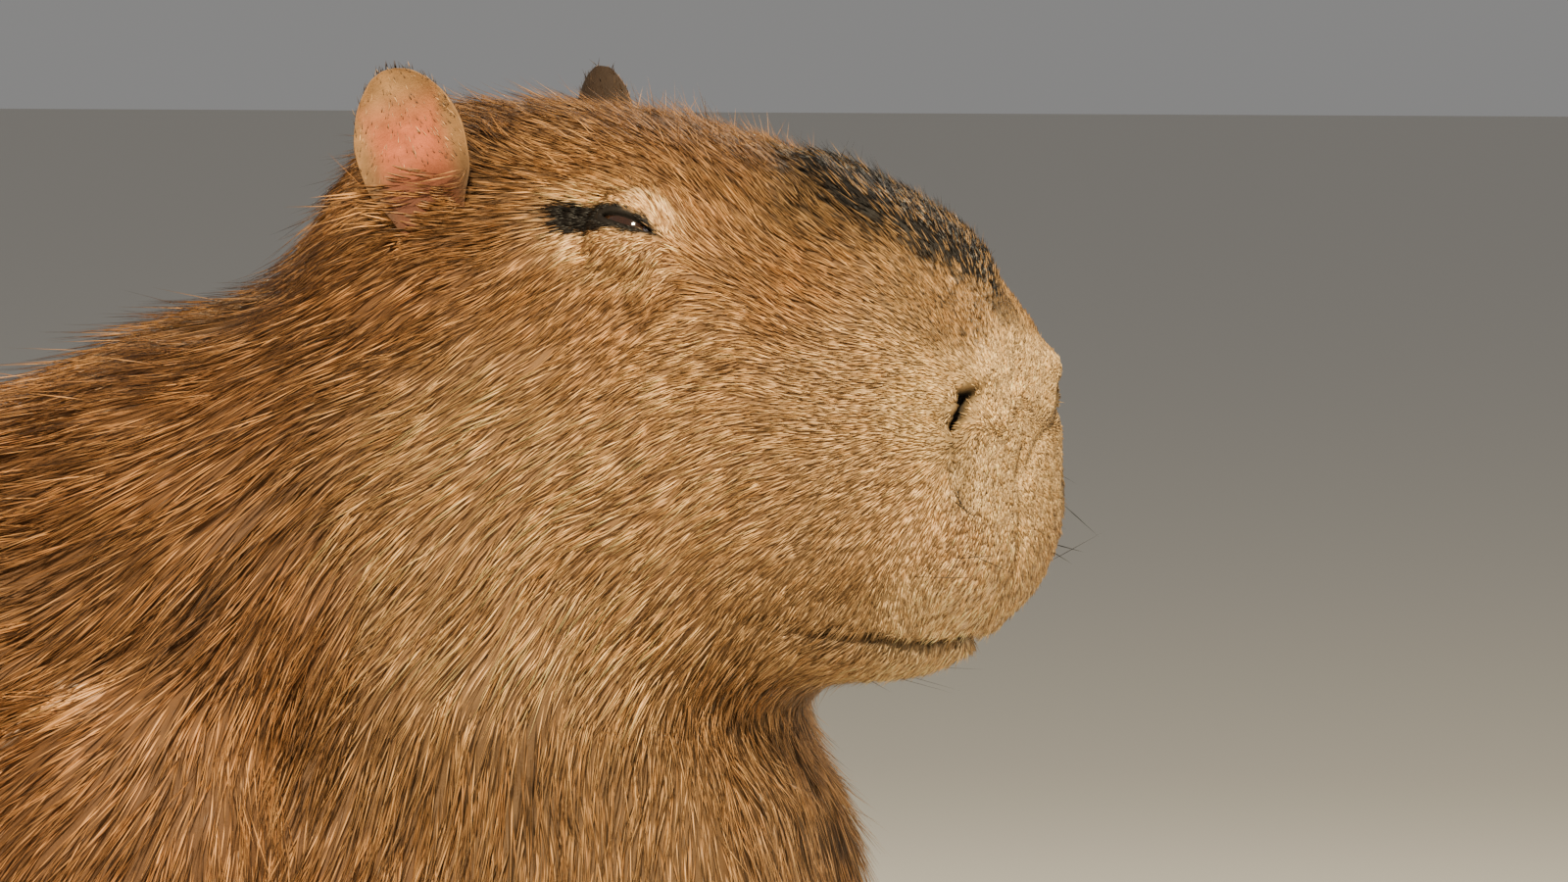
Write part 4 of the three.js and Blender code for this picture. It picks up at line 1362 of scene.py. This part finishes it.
# Worn horn is mottled, and duller and a little raised where it is pale
horn = grown_material(
    "claw_horn", grain=(1.6, 5, 0.6), colours=("#1d1612", "#56473b"), constants={},
    pores=(1.6, 5, 0.6), rough=(0.35, 0.6), relief=(0.3, 0.4),
)
print("materials:", [material.name for material in (undercoat, hair, wet, horn)])

# %% Dressing the pieces
FLESH = [
    "head", "lower_jaw", "snout_gland", "ear_right", "ear_left", "neck", "torso",
    "thigh_right", "thigh_left", "shank_right", "shank_left",
    "upper_arm_right", "upper_arm_left", "forearm_right", "forearm_left",
    "forefoot_right", "forefoot_left", "hindfoot_right", "hindfoot_left",
]

skin.data.materials.append(undercoat)
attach(skin, "root")
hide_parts(*FLESH)

# The body's hairs come first, from tail to chest, and then the head's, from its right to its left
straight = head_places(roots)
is_head = (straight[:, 0] > TURN_PIVOT_X) & (straight[:, 2] > -100)
order_key = np.where(is_head, 1e6 + straight[:, 1] * 100, 0) + roots[:, 0]
order = np.argsort(order_key, kind="stable")
body_hairs, head_hairs = order[: (~is_head).sum()], order[(~is_head).sum():]
for word, hairs in (("body", body_hairs), ("head", head_hairs)):
    for k, chosen in enumerate(np.array_split(hairs, math.ceil(len(hairs) / HAIRS_A_PIECE))):
        piece = coat_piece(f"coat_{word}_{k + 1}", chosen, hair)
        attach(piece, "root")
        print(piece.name, "triangles:", len(piece.data.polygons))

# %% [markdown]
# ## Eyes and claws
# The eyeballs fill the lids from behind, and the blunt claws are worn like small hooves. Both stay
# pieces of their own, as they are on the animal.

# %% Eyeballs
def ball_grid(centre, radius, rings=40, sides=56):
    """Rings round a ball, from its right pole to its left pole."""
    share = np.linspace(0.02, 0.98, rings)[:, None] * np.pi
    angle = ring_angles(sides)
    x = np.sin(share) * np.cos(angle)
    return centre + radius * np.stack([x, -np.cos(share) + 0 * x, np.sin(share) * np.sin(angle)], axis=-1)


for word, side in (("right", -1), ("left", 1)):
    eye = new_object(f"eyeball_{word}", *grid_mesh(ball_grid(eye_centre(side), EYE["radius"])))
    eye.data.materials.append(wet)
    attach(eye, "root")
    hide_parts(f"eye_{word}")
print("eyeball triangles:", sum(len(p.vertices) - 2 for p in eye.data.polygons))

# %% Claws
for name, foot in (("fore", FORE_FOOT), ("hind", HIND_FOOT)):
    for word, side in (("right", -1), ("left", 1)):
        for i in range(len(foot["lengths"])):
            grid = limb(claw_rows(foot, side, i), 20, 24, 0, 2.1, 0, 0.2)
            claw = new_object(f"claw_{name}_{i + 1}_{word}_horn", *grid_mesh(grid))
            claw.data.materials.append(horn)
            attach(claw, "root")
            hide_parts(f"claw_{name}_{i + 1}_{word}")
print("claws:", 2 * (len(FORE_FOOT["lengths"]) + len(HIND_FOOT["lengths"])))

# %% [markdown]
# ## Floor, light and camera
# A pale floor and soft lights keep the eye on the coat. The key light is warm and high, a little to
# the left of the camera, so that it models the face from the front. A weak cool light fills the
# shadows from the right, and another from behind lifts the tips of the hair. The camera stands five
# metres off with a long lens, a little higher than the muzzle, and looks down by two degrees.

# %% Floor and lights
FLOOR_HALF = 30.0
corners = np.array([[-1, -1, 0], [1, -1, 0], [1, 1, 0], [-1, 1, 0]]) * FLOOR_HALF
floor_mesh = bpy.data.meshes.new("studio_floor")
floor_mesh.from_pydata(corners.tolist(), [], [(0, 1, 2, 3)])
floor = linked("studio_floor", floor_mesh)
material, tree, shader = new_material("pale_floor")
fill(tree, shader, {"Base Color": (*srgb("#d9d4cb"), 1), "Roughness": 0.9})
floor.data.materials.append(material)

CAMERA_TURN, CAMERA_DIP = math.radians(21), math.radians(2)
IMAGE_RIGHT = np.array([math.cos(CAMERA_TURN), math.sin(CAMERA_TURN), 0])
LOOK = np.array([-math.sin(CAMERA_TURN), math.cos(CAMERA_TURN), -math.tan(CAMERA_DIP)])
NOSE = (turned(np.array([0, 0, NOSE_HEIGHT])) + SHIFT) * MM
LIT = NOSE - IMAGE_RIGHT * 0.2  # the middle of the head, which all lights face


def aim(thing, place, target):
    """Puts a light or camera at a place, looking at a target."""
    thing.location = place
    thing.rotation_euler = Vector(np.array(target) - np.array(place)).to_track_quat("-Z", "Y").to_euler()


def soft_light(name, right, up, toward, size, power, colour):
    """An area light placed in metres from the nose: to the camera's right, up, and towards it."""
    data = bpy.data.lights.new(name, "AREA")
    data.size, data.energy, data.color = size, power, colour
    place = NOSE + IMAGE_RIGHT * right + np.array([0, 0, up]) - LOOK * toward
    aim(linked(name, data), place, LIT)


soft_light("key", -0.3, 2.1, 2.7, 0.35, 460, (1.0, 0.86, 0.56))
soft_light("fill", 2.2, 0.8, 2.2, 2.0, 20, (0.95, 0.96, 1.0))
soft_light("rim", 0.6, 1.6, -2.0, 0.9, 20, (1.0, 0.9, 0.75))
world = bpy.data.worlds.new("studio")
world.use_nodes = True
sky = world.node_tree.nodes["Background"]
fill(world.node_tree, sky, {"Color": (0.83, 0.82, 0.81, 1), "Strength": 0.3})
bpy.context.scene.world = world

# %% Camera
DISTANCE, LENS, SENSOR = 5.0, 346.0, 36  # metres, and the lens and its sensor's width in mm
FRAME = (1600, 900)
NOSE_PIXEL = (1051, 430)
A_PIXEL = DISTANCE * SENSOR / LENS / FRAME[0]  # in metres, at the nose
target = NOSE - IMAGE_RIGHT * (NOSE_PIXEL[0] - FRAME[0] / 2) * A_PIXEL
target = target + np.array([0, 0, (NOSE_PIXEL[1] - FRAME[1] / 2) * A_PIXEL])
camera_data = bpy.data.cameras.new("camera")
camera_data.lens = LENS
camera = linked("camera", camera_data)
aim(camera, target - LOOK * DISTANCE, target)
bpy.context.scene.camera = camera
